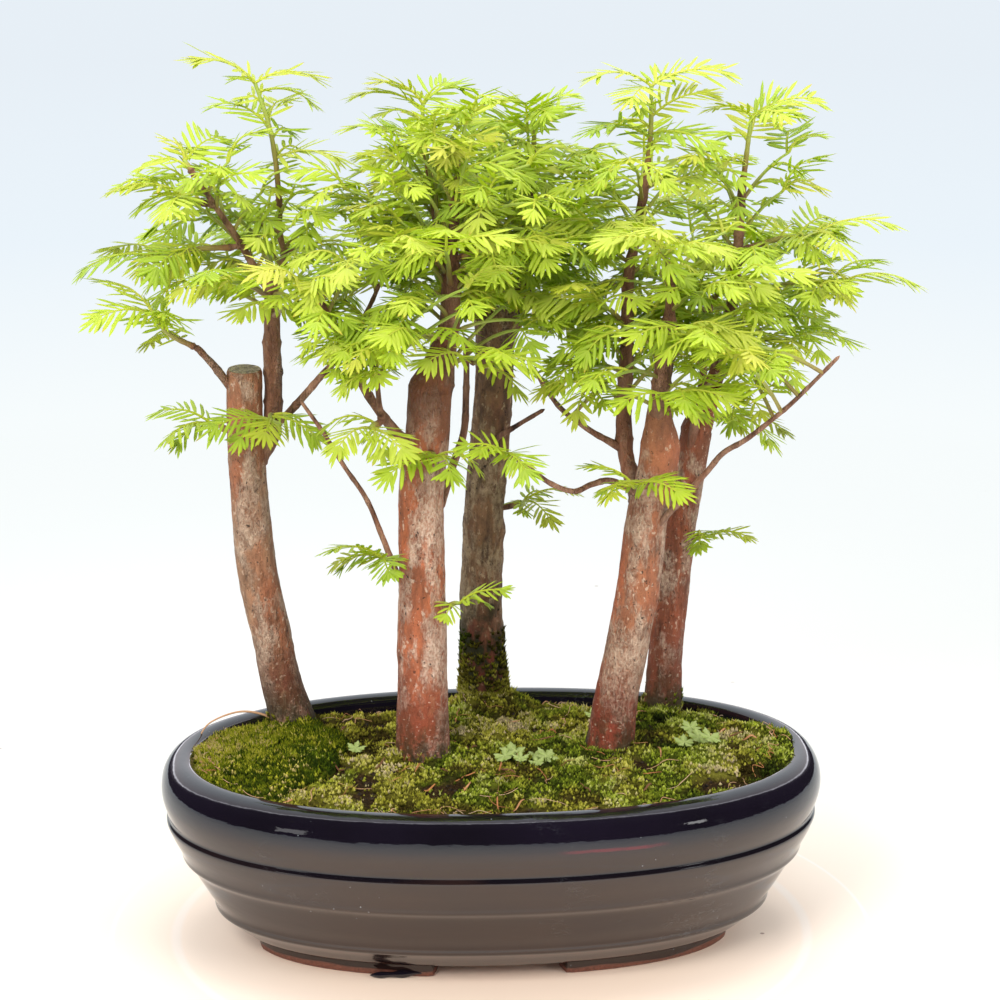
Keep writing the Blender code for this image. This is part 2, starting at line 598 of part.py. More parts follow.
def tube(points, radii, sides):
    """Points and faces of a closed tube along a path."""
    angle = np.linspace(0.0, 2.0 * np.pi, sides, endpoint=False)
    rings = []
    for point, radius, (_, side, other) in zip(points, radii, path_frames(points)):
        offsets = np.outer(np.cos(angle), side) + np.outer(np.sin(angle), other)
        rings.append(point + radius * offsets)
    return joined_rings(rings)


def limb_course(limb):
    """The centre points and radii of a limb."""
    points = smooth_route(limb.route, limb.rings)
    share = np.linspace(0.0, 1.0, limb.rings)
    radii = limb.start_radius + (limb.end_radius - limb.start_radius) * share
    if limb.flare:
        radii = radii + limb.flare * np.exp(-((points[:, 2] - MOSS_EDGE_HEIGHT) / ROOT_FLARE_FADE) ** 2)
    return points, radii


def tree_rods(tree):
    """All limbs of a tree as tapered rods: start, end, radius at start, radius at end."""
    rods = []
    for limb in TREES[tree][1]:
        points, radii = limb_course(limb)
        for i in range(len(points) - 1):
            rods.append((*points[i], *points[i + 1], radii[i], radii[i + 1]))
    return np.array(rods)


def spur_of(shoot):
    """Where a shoot leaves the wood: the point inside the wood, the direction and the spur's length."""
    rods = tree_rods(shoot.tree)
    root = np.array(shoot.root, float)
    starts, ends = rods[:, :3], rods[:, 3:6]
    span = ends - starts
    along = np.clip(np.sum((root - starts) * span, axis=1) / np.sum(span * span, axis=1), 0.0, 1.0)
    nearest = starts + along[:, None] * span
    pick = int(np.argmin(np.linalg.norm(nearest - root, axis=1)))
    radius = rods[pick, 6] + (rods[pick, 7] - rods[pick, 6]) * along[pick]
    target = np.array(shoot.stem[0] if shoot.stem else shoot.tips[0], float)
    base = nearest[pick]
    direction = unit(target - base)
    axis = unit(span[pick])
    at_end = along[pick] > 0.999 and np.dot(direction, axis) > 0.3
    slant = max(np.linalg.norm(np.cross(direction, axis)), 0.4)
    length = SPUR_STAND_OFF if at_end else radius / slant + SPUR_STAND_OFF
    return base, direction, length


def stem_course(shoot):
    """The stem's points, from its flat foot to its last spray."""
    base, direction, length = spur_of(shoot)
    foot = base + direction * (length + BUTT_GAP)
    if shoot.stem:
        return np.vstack([foot, np.array(shoot.stem, float)])
    tip = np.array(shoot.tips[0], float)
    reach = np.linalg.norm(tip - foot)
    end = foot + (tip - foot) * max(reach - SPRAY_LENGTH, 4.0) / reach
    middle = 0.5 * (foot + end) + UP * 0.02 * reach
    return np.vstack([foot, middle, end])


def spray_axes(root, tip, roll):
    """Forward, side and up directions of a spray; its flat lies level unless it is rolled."""
    forward = unit(tip - root)
    level = np.cross(forward, UP)
    if np.linalg.norm(level) < 0.25:
        level = np.array([1.0, 0.3, 0.0])
    side = unit(level - forward * np.dot(level, forward))
    side = turned(side, forward, roll)
    return forward, side, np.cross(side, forward)


def spray_shape(root, tip, roll, pairs):
    """The rib's stations and the needle tips of a spray: an arched feather, longest in its middle."""
    forward, side, up = spray_axes(root, tip, roll)
    length = np.linalg.norm(tip - root)
    last = 0.5 * NEEDLE_LENGTH
    rib_length = length - last
    first = min(RIB_ROOT, 0.3 * rib_length) / rib_length
    share = np.concatenate([[0.0], np.linspace(first, 1.0, pairs + 1)])
    arch = SPRAY_ARCH * length * 4 * share * (1 - share)
    stations = root + np.outer(share * rib_length, forward) + np.outer(arch, up)
    middles = 0.5 * (share[1:-1] + share[2:])
    reach = NEEDLE_LENGTH * (0.62 + 0.38 * np.sin(np.pi * (0.15 + 0.72 * middles)))
    reach = reach * np.where(middles > 0.8, 0.86, 1.0)
    opening = np.radians(66.0 - 24.0 * middles)
    roots = 0.5 * (stations[1:-1] + stations[2:])
    tips = {}
    for hand in (-1, 1):
        lean = np.outer(np.cos(opening), forward) + hand * np.outer(np.sin(opening), side) - NEEDLE_DROOP * up
        tips[hand] = roots + reach[:, None] * lean
    end = stations[-1] + last * unit(forward - 2.0 * SPRAY_ARCH * up)
    return stations, roots, tips, end, side, up


def spray_rods(root, tip, roll, pairs):
    """A spray as tapered rods for the clearance test."""
    stations, roots, tips, end, _, _ = spray_shape(root, tip, roll, pairs)
    rods = [(*a, *b, 0.6, 0.6) for a, b in zip(stations[:-1], stations[1:])]
    rods.append((*stations[-1], *end, 0.6, 0.2))
    for hand in (-1, 1):
        rods += [(*a, *b, 1.15, 0.15) for a, b in zip(roots, tips[hand])]
    return np.array(rods)


def clear_gap(first, second):
    """The smallest gap between two sets of tapered rods, from their closest points."""
    a, b = first[:, None, :3], first[:, None, 3:6]
    c, d = second[None, :, :3], second[None, :, 3:6]
    u, v, w = b - a, d - c, a - c
    uu, vv, uv = (u * u).sum(-1), (v * v).sum(-1) + 1e-12, (u * v).sum(-1)
    uw, vw = (u * w).sum(-1), (v * w).sum(-1)
    scale = uu * vv - uv * uv
    s = np.where(scale > 1e-9, (uv * vw - uw * vv) / np.maximum(scale, 1e-9), 0.0).clip(0, 1)
    t = ((uv * s + vw) / vv).clip(0, 1)
    s = ((uv * t - uw) / (uu + 1e-12)).clip(0, 1)
    apart = np.linalg.norm(w + u * s[..., None] - v * t[..., None], axis=-1)
    thick = first[:, None, 6] + (first[:, None, 7] - first[:, None, 6]) * s
    thick = thick + second[None, :, 6] + (second[None, :, 7] - second[None, :, 6]) * t
    return float((apart - thick).min())


def pairs_for(length):
    """How many pairs of needles a spray of this length has."""
    return int(np.clip(round(length / PAIR_SPACING), FEWEST_PAIRS, MOST_PAIRS))


def planned_sprays():
    """Every spray that is wanted: shoot, start, tip and how much room it may look for."""
    rounds = [[], [], [], [], []]
    for index, shoot in enumerate(SHOOTS):
        course = stem_course(shoot)
        end = course[-1]
        for tip in shoot.tips:
            rounds[0].append((index, end, np.array(tip, float)))
        lengths = np.concatenate([[0.0], np.cumsum(np.linalg.norm(np.diff(course, axis=0), axis=1))])

        def at(share):
            return np.array([np.interp(share * lengths[-1], lengths, course[:, k]) for k in range(3)])

        for share, tip in shoot.extra:
            rounds[1].append((index, at(share), np.array(tip, float)))
        for number in range(shoot.sides):
            share = FIRST_SIDE_SPRAY - number * SIDE_SPRAY_SPAN / shoot.sides
            start = at(share)
            heading = unit(at(min(share + 0.1, 1.0)) - at(max(share - 0.1, 0.0)))
            hand = 1 if (number + index) % 2 else -1
            if abs(heading[2]) > 0.8:
                bearing = 2.4 * number + 1.7 * index
                out = np.array([math.cos(bearing), math.sin(bearing), 0.0])
                toward = unit(0.35 * heading + out)
            else:
                out = hand * unit(np.cross(heading, UP))
                toward = unit(math.cos(SIDE_SPRAY_ANGLE) * heading + math.sin(SIDE_SPRAY_ANGLE) * out + 0.06 * UP)
            rounds[1 + min(number, 3)].append((index, start, start + SIDE_SPRAY_LENGTH * toward))
    return [job for jobs in rounds for job in jobs]


def placed_sprays():
    """Sprays that keep clear of every other shoot and of the wood, each turned until it does."""
    wood = [tree_rods(tree) for tree in range(len(TREES))]
    solid = [(-1, rods) for rods in wood]
    for index, shoot in enumerate(SHOOTS):
        base, direction, length = spur_of(shoot)
        end = base + direction * length
        solid.append((-1, np.array([(*base, *end, SPUR_RADIUS, SPUR_RADIUS)])))
        course = stem_course(shoot)
        stem = [(*a, *b, SPUR_RADIUS, SPUR_RADIUS) for a, b in zip(course[:-1], course[1:])]
        solid.append((index, np.array(stem)))
    kept = []
    for index, start, wanted in planned_sprays():
        span = wanted - start
        others = np.concatenate([rods for owner, rods in solid if owner != index])
        middle = 0.5 * (others[:, :3] + others[:, 3:6])
        others = others[np.linalg.norm(middle - (start + 0.5 * span), axis=1) < NEIGHBOUR_REACH]
        sisters = [rods for owner, rods in solid if owner == index and len(rods) > 6]
        best = None
        for attempt in range(SPRAY_TRIES):
            swing = math.radians(1.9 * attempt) * math.sin(2.4 * attempt)
            lift = math.radians(1.6 * attempt) * math.cos(2.4 * attempt)
            toward = turned(turned(span, UP, swing), unit(np.cross(span, UP) + 1e-6), lift)
            toward = toward * (1.0 - 0.010 * attempt)
            roll = 0.35 * math.sin(1.7 * attempt + index)
            rods = spray_rods(start, start + toward, roll, pairs_for(np.linalg.norm(toward)))
            if clear_gap(rods[1:], others) < SPRAY_CLEARANCE:
                continue
            crossed = sum(clear_gap(rods[2:], sister[2:]) < 0.0 for sister in sisters)
            if best is None or crossed < best[0]:
                best = (crossed, start + toward, roll, rods)
            if crossed == 0:
                break
        if best is not None:
            solid.append((index, best[3]))
            kept.append((index, start, best[1], best[2]))
    return kept


def spray_mesh(start, tip, roll, pairs):
    """A spray as one closed skin: a slim three-sided rib whose slopes are drawn out into needles."""
    stations, _, tips, end, side, up = spray_shape(start, tip, roll, pairs)
    share = np.linspace(1.0, 0.66, len(stations))[:, None]
    wide = 0.5 * RIB_WIDTH * share * side
    thick = RIB_THICKNESS * share * up
    corners = np.stack([stations - wide, stations + wide, stations + thick], axis=1)
    points = list(corners.reshape(-1, 3))
    faces = [(0, 1, 2)]
    for level in range(len(stations) - 1):
        low, high = 3 * level, 3 * level + 3
        faces.append((low + 1, low, high, high + 1))
        left = (low, low + 2, high + 2, high)
        right = (low + 2, low + 1, high + 1, high + 2)
        if level == 0:
            faces += [left, right]
            continue
        for hand, quad in ((-1, left), (1, right)):
            points.append(tips[hand][level - 1])
            point = len(points) - 1
            faces += [(quad[k], quad[(k + 1) % 4], point) for k in range(4)]
    last = 3 * (len(stations) - 1)
    points.append(end)
    rim = (last + 1, last, last + 2)
    faces += [(rim[k], rim[(k + 1) % 3], len(points) - 1) for k in range(3)]
    return np.array(points), faces


def make_tree(tree, spurs):
    """A trunk with its leaders, branches and spurs, joined into one solid."""
    name, limbs = TREES[tree]
    pieces = []
    for number, limb in enumerate(limbs):
        points, radii = limb_course(limb)
        skin = tube(points, radii, limb.sides)
        pieces.append(make_object(name if number == 0 else f"{name}_limb_{number}", *skin, "bark"))
    for number, (base, direction, length) in enumerate(spurs):
        points = np.array([base, base + direction * length])
        skin = tube(points, [SPUR_RADIUS, SPUR_RADIUS], TWIG_SIDES)
        pieces.append(make_object(f"{name}_spur_{number}", *skin, "bark"))
    fuse(pieces[0], pieces[1:])
    pieces[0].data.shade_smooth()
    pieces[0].data.set_sharp_from_angle(angle=math.radians(50))


def make_trunk_hole(tree, name):
    """A cutter a little wider than the foot of a trunk."""
    points, radii = limb_course(TREES[tree][1][0])
    keep = points[:, 2] < TRUNK_HOLE_TOP
    points, radii = points[keep].copy(), radii[keep] + CLEARANCE
    points[0] = points[0] - unit(points[1] - points[0]) * CLEARANCE
    return make_object(name, *tube(points, radii, TRUNK_SIDES), "soil")


def make_shoot(index, sprays):
    """A leafy stem with its sprays sunk into it."""
    shoot = SHOOTS[index]
    course = stem_course(shoot)
    radii = np.linspace(SPUR_RADIUS, STEM_TIP_RADIUS, len(course))
    stem = make_object(shoot.name, *tube(course, radii, STEM_SIDES), "foliage", smooth=False)
    pieces = []
    for number, (start, tip, roll) in enumerate(sprays):
        forward = unit(tip - start)
        sunk = start - forward * 0.2
        skin = spray_mesh(sunk, tip, roll, pairs_for(np.linalg.norm(tip - start)))
        pieces.append(make_object(f"{shoot.name}_spray_{number}", *skin, "foliage", smooth=False))
    fuse(stem, pieces, solver="MANIFOLD")


def settle_on_origin():
    """Moves every mesh so that the base of the whole bounding box is centred on the origin."""
    objects = [obj for obj in bpy.data.objects if obj.type == "MESH"]
    corners = []
    for obj in objects:
        points = np.empty(len(obj.data.vertices) * 3)
        obj.data.vertices.foreach_get("co", points)
        corners.append(points.reshape(-1, 3))
    every = np.concatenate(corners)
    low, high = every.min(axis=0), every.max(axis=0)
    shift = np.array([(low[0] + high[0]) / 2, (low[1] + high[1]) / 2, low[2]])
    for obj, points in zip(objects, corners):
        obj.data.vertices.foreach_set("co", (points - shift).ravel())
        obj.data.update()


def main():
    """Builds the tray, the soil, the moss, the trees and the leafy shoots."""
    for old in list(bpy.data.objects):
        bpy.data.objects.remove(old, do_unlink=True)
    make_tray()
    make_drain_screens()
    trees = range(len(TREES))
    make_soil([make_trunk_hole(tree, "soil_hole") for tree in trees])
    make_moss([make_trunk_hole(tree, "carpet_hole") for tree in trees],
              [make_trunk_hole(tree, "cushion_hole") for tree in trees if tree == 0])
    for tree in trees:
        make_tree(tree, [spur_of(shoot) for shoot in SHOOTS if shoot.tree == tree])
    sprays = placed_sprays()
    for index in range(len(SHOOTS)):
        make_shoot(index, [spray[1:] for spray in sprays if spray[0] == index])
    settle_on_origin()


main()
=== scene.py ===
"""Dawn redwood forest in an oval glazed tray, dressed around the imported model.

Sizes are in millimetres, measured from the middle of the tray's footprint, with X along the tray,
Y to the back and Z up. Every mesh is worked out as whole arrays and is placed in the model's frame
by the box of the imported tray.
"""

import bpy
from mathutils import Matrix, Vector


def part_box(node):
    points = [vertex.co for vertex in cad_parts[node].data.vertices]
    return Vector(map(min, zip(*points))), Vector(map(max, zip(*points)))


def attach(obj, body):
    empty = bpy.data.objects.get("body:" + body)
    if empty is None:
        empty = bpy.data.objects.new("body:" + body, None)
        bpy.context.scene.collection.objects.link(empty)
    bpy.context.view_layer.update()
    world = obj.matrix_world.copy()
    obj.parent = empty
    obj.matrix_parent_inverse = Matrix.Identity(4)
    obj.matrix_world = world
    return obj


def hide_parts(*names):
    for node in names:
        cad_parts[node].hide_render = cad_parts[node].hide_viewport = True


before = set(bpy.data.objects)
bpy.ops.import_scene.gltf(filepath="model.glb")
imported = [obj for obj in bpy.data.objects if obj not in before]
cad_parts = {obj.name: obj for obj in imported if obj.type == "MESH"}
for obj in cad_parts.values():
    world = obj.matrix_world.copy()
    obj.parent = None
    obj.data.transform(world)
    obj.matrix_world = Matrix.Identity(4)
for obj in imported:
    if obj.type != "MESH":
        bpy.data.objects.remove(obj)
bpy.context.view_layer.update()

import logging
import math
from dataclasses import dataclass, field
from enum import Enum
from typing import Any, Callable, Sequence, TypeAlias

import bpy
import numpy as np
import numpy.typing as npt
from mathutils import Vector

Array: TypeAlias = npt.NDArray[Any]
Colour: TypeAlias = tuple[float, float, float]
Draw: TypeAlias = np.random.Generator
Material: TypeAlias = bpy.types.Material
LOG = logging.getLogger("forest")
MM = 0.001
TURN = 2 * np.pi
GOLDEN_ANGLE = 2.4
UP = np.array([0.0, 0.0, 1.0])
TRAY_LOW, TRAY_HIGH = (np.array(corner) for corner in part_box("tray"))
TRAY_MIDDLE = np.array([(TRAY_LOW[0] + TRAY_HIGH[0]) / 2, (TRAY_LOW[1] + TRAY_HIGH[1]) / 2, TRAY_LOW[2]])


class Slot(Enum):
    """The record's material slots."""

    GLAZE = "glaze"
    SOIL = "soil"
    MOSS = "moss"
    CUSHION = "cushion"
    BARK = "bark"
    FOLIAGE = "foliage"


def unit(vector: Array) -> Array:
    """The vector at length one."""
    return vector / max(np.linalg.norm(vector), 1e-9)


def units(vectors: Array) -> Array:
    """Every vector of an array at length one."""
    return vectors / np.maximum(np.linalg.norm(vectors, axis=-1, keepdims=True), 1e-9)


def bearing_of(angle: float) -> Array:
    """The level direction at an angle."""
    return np.array([math.cos(angle), math.sin(angle), 0.0])


def angles(count: int) -> Array:
    """Even angles round a ring."""
    return np.linspace(0.0, TURN, count, endpoint=False)


def turned(vector: Array, axis: Array, angle: float) -> Array:
    """Turns a vector about a unit axis: the part along it stays, the rest turns by cosine and sine."""
    along = axis * np.dot(axis, vector)
    return along + (vector - along) * math.cos(angle) + np.cross(axis, vector) * math.sin(angle)


def way_along(course: Array) -> Array:
    """How far each point of a path lies from its start, along it."""
    return np.concatenate([[0.0], np.cumsum(np.linalg.norm(np.diff(course, axis=0), axis=1))])


def length_of(course: Any) -> float:
    """A path's length."""
    return float(np.linalg.norm(np.diff(np.array(course, float), axis=0), axis=1).sum())


def point_along(course: Array, share: float) -> Array:
    """The point at a share of a path's length."""
    way = way_along(course)
    return np.array([np.interp(share * way[-1], way, course[:, k]) for k in range(3)])


def heading_at(course: Array, share: float) -> Array:
    """A path's direction at a share of its length."""
    return unit(point_along(course, min(share + 0.1, 1.0)) - point_along(course, max(share - 0.1, 0.0)))


def bells(value: Any, x: Array, y: Array, rows: Sequence[tuple]) -> Array:
    """Adds bells: rise exp(-d^2/breadth) for each row of a place, a rise and a breadth.

    Args:
        value: What the bells are added to.
        x: Places along the tray.
        y: Places across it.
        rows: Place along and across, rise and breadth of each bell.

    Returns:
        The sum.
    """
    for across, back, rise, breadth in rows:
        value = value + rise * np.exp(-((x - across) ** 2 + (y - back) ** 2) / breadth)
    return value


class Noise:
    """Smooth value noise: lattice values blended with the weights 3t^2 - 2t^3."""

    SIZE = 128

    def __init__(self, seed: int) -> None:
        """Draws the lattice from a seed."""
        self.lattice = np.random.default_rng(seed).random((self.SIZE, self.SIZE)) * 2.0 - 1.0

    def at(self, u: Array, v: Array, period: int = SIZE) -> Array:
        """Reads the noise.

        Args:
            u: First coordinates, in lattice cells; they repeat after the period.
            v: Second coordinates.
            period: Cells after which the noise repeats along u.

        Returns:
            Values from -1 to 1.
        """
        cell_u, cell_v = np.floor(u).astype(int), np.floor(v).astype(int)
        part_u, part_v = u - cell_u, v - cell_v
        weight_u = part_u * part_u * (3 - 2 * part_u)
        weight_v = part_v * part_v * (3 - 2 * part_v)
        u0, u1 = cell_u % period, (cell_u + 1) % period
        v0, v1 = cell_v % self.SIZE, (cell_v + 1) % self.SIZE
        low = self.lattice[u0, v0] * (1 - weight_u) + self.lattice[u1, v0] * weight_u
        high = self.lattice[u0, v1] * (1 - weight_u) + self.lattice[u1, v1] * weight_u
        return low * (1 - weight_v) + high * weight_v


def closed_rings(rings: Array) -> tuple[Array, list[Array]]:
    """Closes a tube: a skin through its rings, and at each end a fan to the ring's mean.

    Args:
        rings: Rings, points and coordinates; points run anticlockwise seen from the last ring's end.

    Returns:
        The points, and the four-sided and three-sided faces.
    """
    rows, columns = rings.shape[:2]
    points = np.vstack([rings.reshape(-1, 3), rings[0].mean(axis=0), rings[-1].mean(axis=0)])
    index = np.arange(rows * columns).reshape(rows, columns)
    after = np.roll(index, -1, axis=1)
    quads = np.stack([index[:-1], after[:-1], after[1:], index[1:]], axis=-1).reshape(-1, 4)
    low = np.stack([after[0], index[0], np.full(columns, rows * columns)], axis=-1)
    high = np.stack([index[-1], after[-1], np.full(columns, rows * columns + 1)], axis=-1)
    return points, [quads, np.concatenate([low, high])]


def smooth_route(route: Any, count: int, steps: int = 8) -> Array:
    """Even points along a smooth curve through the route's points.

    Each span is the cubic 0.5(2b + (c-a)t + (2a-5b+4c-d)t^2 + (3b-a-3c+d)t^3) of its four nearest
    points a, b, c and d.

    Args:
        route: The points that the curve goes through.
        count: How many points are wanted.
        steps: Steps that each span is worked out in.

    Returns:
        The points.
    """
    points = np.array(route, float)
    padded = np.vstack([2 * points[0] - points[1], points, 2 * points[-1] - points[-2]])
    a, b, c, d = (padded[k:len(padded) - 3 + k, None] for k in range(4))
    t = np.linspace(0.0, 1.0, steps, endpoint=False)[None, :, None]
    curve = 0.5 * (2 * b + (c - a) * t + (2 * a - 5 * b + 4 * c - d) * t * t
                   + (3 * b - a - 3 * c + d) * t ** 3)
    curve = np.vstack([curve.reshape(-1, 3), points[-1]])
    way = way_along(curve)
    wanted = np.linspace(0.0, way[-1], count)
    return np.stack([np.interp(wanted, way, curve[:, k]) for k in range(3)], axis=1)


def tube_rings(course: Array, radii: Any, columns: int) -> Array:
    """Rings of a tube: course + radius (cos a first + sin a second), both across its tangent.

    Args:
        course: The path's points.
        radii: A radius for each ring, or for each point of each ring.
        columns: Points in a ring.

    Returns:
        Rings, points and coordinates.
    """
    tangents = units(np.gradient(course, axis=0))
    guide = np.eye(3)[int(np.argmin(np.abs(tangents).max(axis=0)))]
    first = units(np.cross(tangents, guide))
    second = np.cross(tangents, first)
    angle = angles(columns)[None, :, None]
    reach = np.asarray(radii, float).reshape(len(course), -1, 1)
    return course[:, None] + reach * (np.cos(angle) * first[:, None] + np.sin(angle) * second[:, None])


def add_object(name: str, data: Any) -> bpy.types.Object:
    """A new object in the scene.

    Args:
        name: Its name.
        data: Its mesh, light or camera.

    Returns:
        The object.
    """
    made = bpy.data.objects.new(name, data)
    bpy.context.scene.collection.objects.link(made)
    return made


class Skin:
    """One mesh in the making: points, faces and three tint values at each point."""

    def __init__(self) -> None:
        """Starts empty."""
        self.points: list[Array] = []
        self.faces: list[Array] = []
        self.tints: list[Array] = []
        self.count = 0

    def add(self, points: Array, faces: Sequence[Array], tint: Any) -> None:
        """Adds a shape.

        Args:
            points: Its points, in millimetres.
            faces: Arrays of faces, one array for each number of corners.
            tint: Three values for each point, or three for all.
        """
        flat = points.reshape(-1, 3)
        self.points.append(flat)
        self.faces += [block + self.count for block in faces]
        self.tints.append(np.broadcast_to(np.asarray(tint, float).reshape(-1, 3), flat.shape))
        self.count += len(flat)

    def rings(self, rings: Array, tint: Any) -> None:
        """Adds a closed tube, tinted all alike or by the points of its rings."""
        tint = np.asarray(tint, float).reshape(-1, 3)
        self.add(*closed_rings(rings), tint if len(tint) == 1 else np.vstack([tint, tint[:1], tint[-1:]]))

    def tube(self, course: Array, radii: Any, columns: int, tint: Any) -> None:
        """Adds a closed tube along a path."""
        self.rings(tube_rings(course, radii, columns), tint)

    def build(self, name: str, material: Material, slot: Slot, replaced: Sequence[str] = (),
              sharp: float = 60.0) -> bpy.types.Object:
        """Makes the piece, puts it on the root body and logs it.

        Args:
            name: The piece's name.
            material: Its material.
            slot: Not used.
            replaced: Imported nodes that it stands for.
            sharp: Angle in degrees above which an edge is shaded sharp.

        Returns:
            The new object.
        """
        points = np.concatenate(self.points) * MM + TRAY_MIDDLE
        loops = np.concatenate([block.ravel() for block in self.faces])
        sizes = np.concatenate([np.full(len(block), block.shape[1]) for block in self.faces])
        starts = np.concatenate([[0], np.cumsum(sizes)[:-1]])
        mesh = bpy.data.meshes.new(name)
        mesh.vertices.add(len(points))
        mesh.vertices.foreach_set("co", points.astype(np.float32).ravel())
        mesh.loops.add(len(loops))
        mesh.loops.foreach_set("vertex_index", loops.astype(np.int32))
        mesh.polygons.add(len(sizes))
        mesh.polygons.foreach_set("loop_start", starts.astype(np.int32))
        mesh.update(calc_edges=True)
        mesh.validate()
        tint = mesh.attributes.new("tint", "FLOAT_COLOR", "POINT")
        colours = np.concatenate([np.concatenate(self.tints), np.ones((self.count, 1))], axis=1)
        tint.data.foreach_set("color", colours.astype(np.float32).ravel())
        mesh.shade_smooth()
        mesh.set_sharp_from_angle(angle=math.radians(sharp))
        mesh.materials.append(material)
        built = add_object(name, mesh)
        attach(built, "root")
        if replaced:
            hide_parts(*replaced)
        LOG.info("%s: %d points, %d triangles", name, len(points), int((sizes - 2).sum()))
        return built


@dataclass(frozen=True)
class Limb:
    """A trunk, leader, branch or woody twig: its route, end radii, plain rings and flare at the moss."""

    route: tuple
    start_radius: float
    end_radius: float
    rings: int = 7
    flare: float = 0.0


@dataclass(frozen=True)
class Shoot:
    """A leafy stem.

    Attributes:
        tips: Where its end sprays reach.
        sides: How many side sprays it has.
        stem: Points of its stem, where it isn't straight.
        extra: Further sprays, each a share of the stem and where it reaches.
    """

    name: str
    tree: int
    root: tuple
    tips: tuple
    sides: int = 2
    stem: tuple = ()
    extra: tuple = ()


@dataclass(frozen=True)
class Spray:
    """One flat feather of needles.

    Attributes:
        owner: The number of its shoot, or of its tree where it stands on a leader.
        tip: Where its end needles reach.
        roll: How far its flat is turned about its rib, in radians.
        pairs: Pairs of needles of its plain form.
        hang: How far its end sags, as a share of its length.
    """

    owner: int
    start: Array
    tip: Array
    roll: float
    pairs: int
    hang: float = 0.0


NAMES = ("left", "middle", "back", "right", "end")

TREES = (
    (
        Limb(((-58, 27, 34), (-60, 28, 46), (-62, 28, 60), (-66, 28, 76), (-69, 27, 93), (-73, 26, 114),
              (-75, 25, 138), (-76, 24, 158), (-76, 23, 181)), 6.9, 5.5, 8, 0.9),
        Limb(((-74, 25, 150), (-68, 26, 160), (-67, 26, 173), (-67, 26, 189), (-67, 26, 209)), 3.4, 2.4),
        Limb(((-67, 26, 206), (-63, 26, 214), (-64, 26, 223), (-64, 26, 232)), 1.9, 1.2, 4),
        Limb(((-67, 26, 206), (-71, 25, 211), (-77, 20, 223), (-84, 15, 235), (-90, 12, 245)), 1.9, 1.0, 5),
        Limb(((-71, 25, 158), (-63, 22, 166), (-53, 16, 179), (-45, 10, 190), (-38, 6, 203), (-34, 2, 213)),
              2.0, 0.9, 6),
        Limb(((-76, 24, 170), (-80, 23, 175), (-85, 18, 183), (-90, 14, 190)), 2.4, 1.5, 4),
    ),
    (
        Limb(((-22, -5, 24), (-22, -5, 46), (-22, -5, 62), (-22, -5, 80), (-22, -4, 99), (-22, -3, 125),
              (-22, -2, 145), (-20, -1, 164), (-19, -1, 179)), 8.3, 6.8, 8, 0.9),
        Limb(((-19, -1, 166), (-16, -1, 175), (-14, -1, 189), (-13, -1, 204), (-12, -1, 222),
              (-11, -1, 240)), 3.0, 1.4),
        Limb(((-13, -1, 208), (-14, 4, 215), (-16, 10, 226), (-18, 13, 243)), 1.8, 1.1, 4),
        Limb(((-22, -2, 132), (-16, 3, 141), (-12, 9, 151), (-8, 11, 162), (-7, 13, 175), (-7, 13, 190)),
              2.1, 1.3, 6),
        Limb(((-21, -2, 157), (-27, -4, 164), (-33, -7, 172), (-40, -11, 184), (-46, -13, 197),
              (-54, -17, 215)), 2.6, 1.1, 6),
        Limb(((-22, -3, 111), (-29, -4, 120), (-34, -5, 133), (-39, -5, 146), (-46, -5, 157), (-52, -3, 167),
              (-59, -1, 177)), 1.5, 0.8),
        Limb(((-34, -7, 172), (-35, -13, 177), (-36, -17, 188), (-37, -17, 201)), 1.4, 0.8, 4),
    ),
    (
        Limb(((1, 41, 34), (1, 44, 47), (1, 47, 60), (0, 47, 82), (0, 46, 103), (1, 45, 130), (3, 45, 154),
              (4, 45, 173), (4, 45, 188)), 7.2, 6.0, 8, 1.6),
        Limb(((3, 45, 175), (1, 46, 186), (-2, 47, 197), (-4, 49, 211), (-5, 49, 225)), 3.0, 1.4),
        Limb(((4, 45, 174), (8, 45, 184), (12, 45, 192), (14, 43, 206), (15, 41, 226), (15, 40, 240)), 3.0,
              1.4),
        Limb(((2, 45, 144), (3, 40, 151), (11, 35, 158), (19, 31, 164)), 1.7, 0.9, 4),
    ),
    (
        Limb(((28, -2, 24), (33, -3, 44), (37, -3, 62), (39, -3, 78), (43, -3, 98), (46, -4, 118),
              (48, -5, 138), (51, -5, 152), (52, -5, 161)), 7.4, 6.2, 8, 0.9),
        Limb(((47, -4, 140), (44, 0, 149), (42, 4, 158), (42, 7, 172), (43, 9, 192), (43, 11, 209),
              (46, 12, 226), (49, 13, 244)), 2.8, 1.3, 8),
        Limb(((51, -5, 152), (51, -7, 164), (51, -9, 177), (53, -11, 194), (54, -11, 209), (54, -11, 222)),
              2.9, 1.3),
        Limb(((48, -5, 144), (37, -11, 152), (30, -17, 153), (24, -21, 152), (17, -23, 155), (11, -25, 160),
              (5, -27, 165)), 1.6, 0.9),
        Limb(((42, 4, 158), (33, 4, 163), (27, 1, 168), (20, -3, 175), (12, -5, 188)), 1.5, 0.9, 5),
        Limb(((47, -5, 131), (54, -11, 141), (65, -15, 155), (70, -17, 162), (77, -19, 167), (85, -21, 174),
              (91, -23, 180), (104, -27, 195)), 1.6, 0.8, 8),
    ),
    (
        Limb(((55, 32, 34), (56, 34, 46), (58, 36, 60), (59, 36, 81), (61, 36, 101), (63, 36, 122),
              (66, 36, 142), (68, 36, 154)), 5.9, 4.9, 8, 0.9),
        Limb(((67, 36, 146), (73, 36, 167), (76, 36, 181), (79, 36, 197), (80, 34, 214), (81, 31, 236)), 2.7,
              1.3),
        Limb(((66, 36, 142), (66, 33, 150), (68, 28, 167), (69, 22, 185), (70, 18, 202)), 2.3, 1.3),
    ),
)

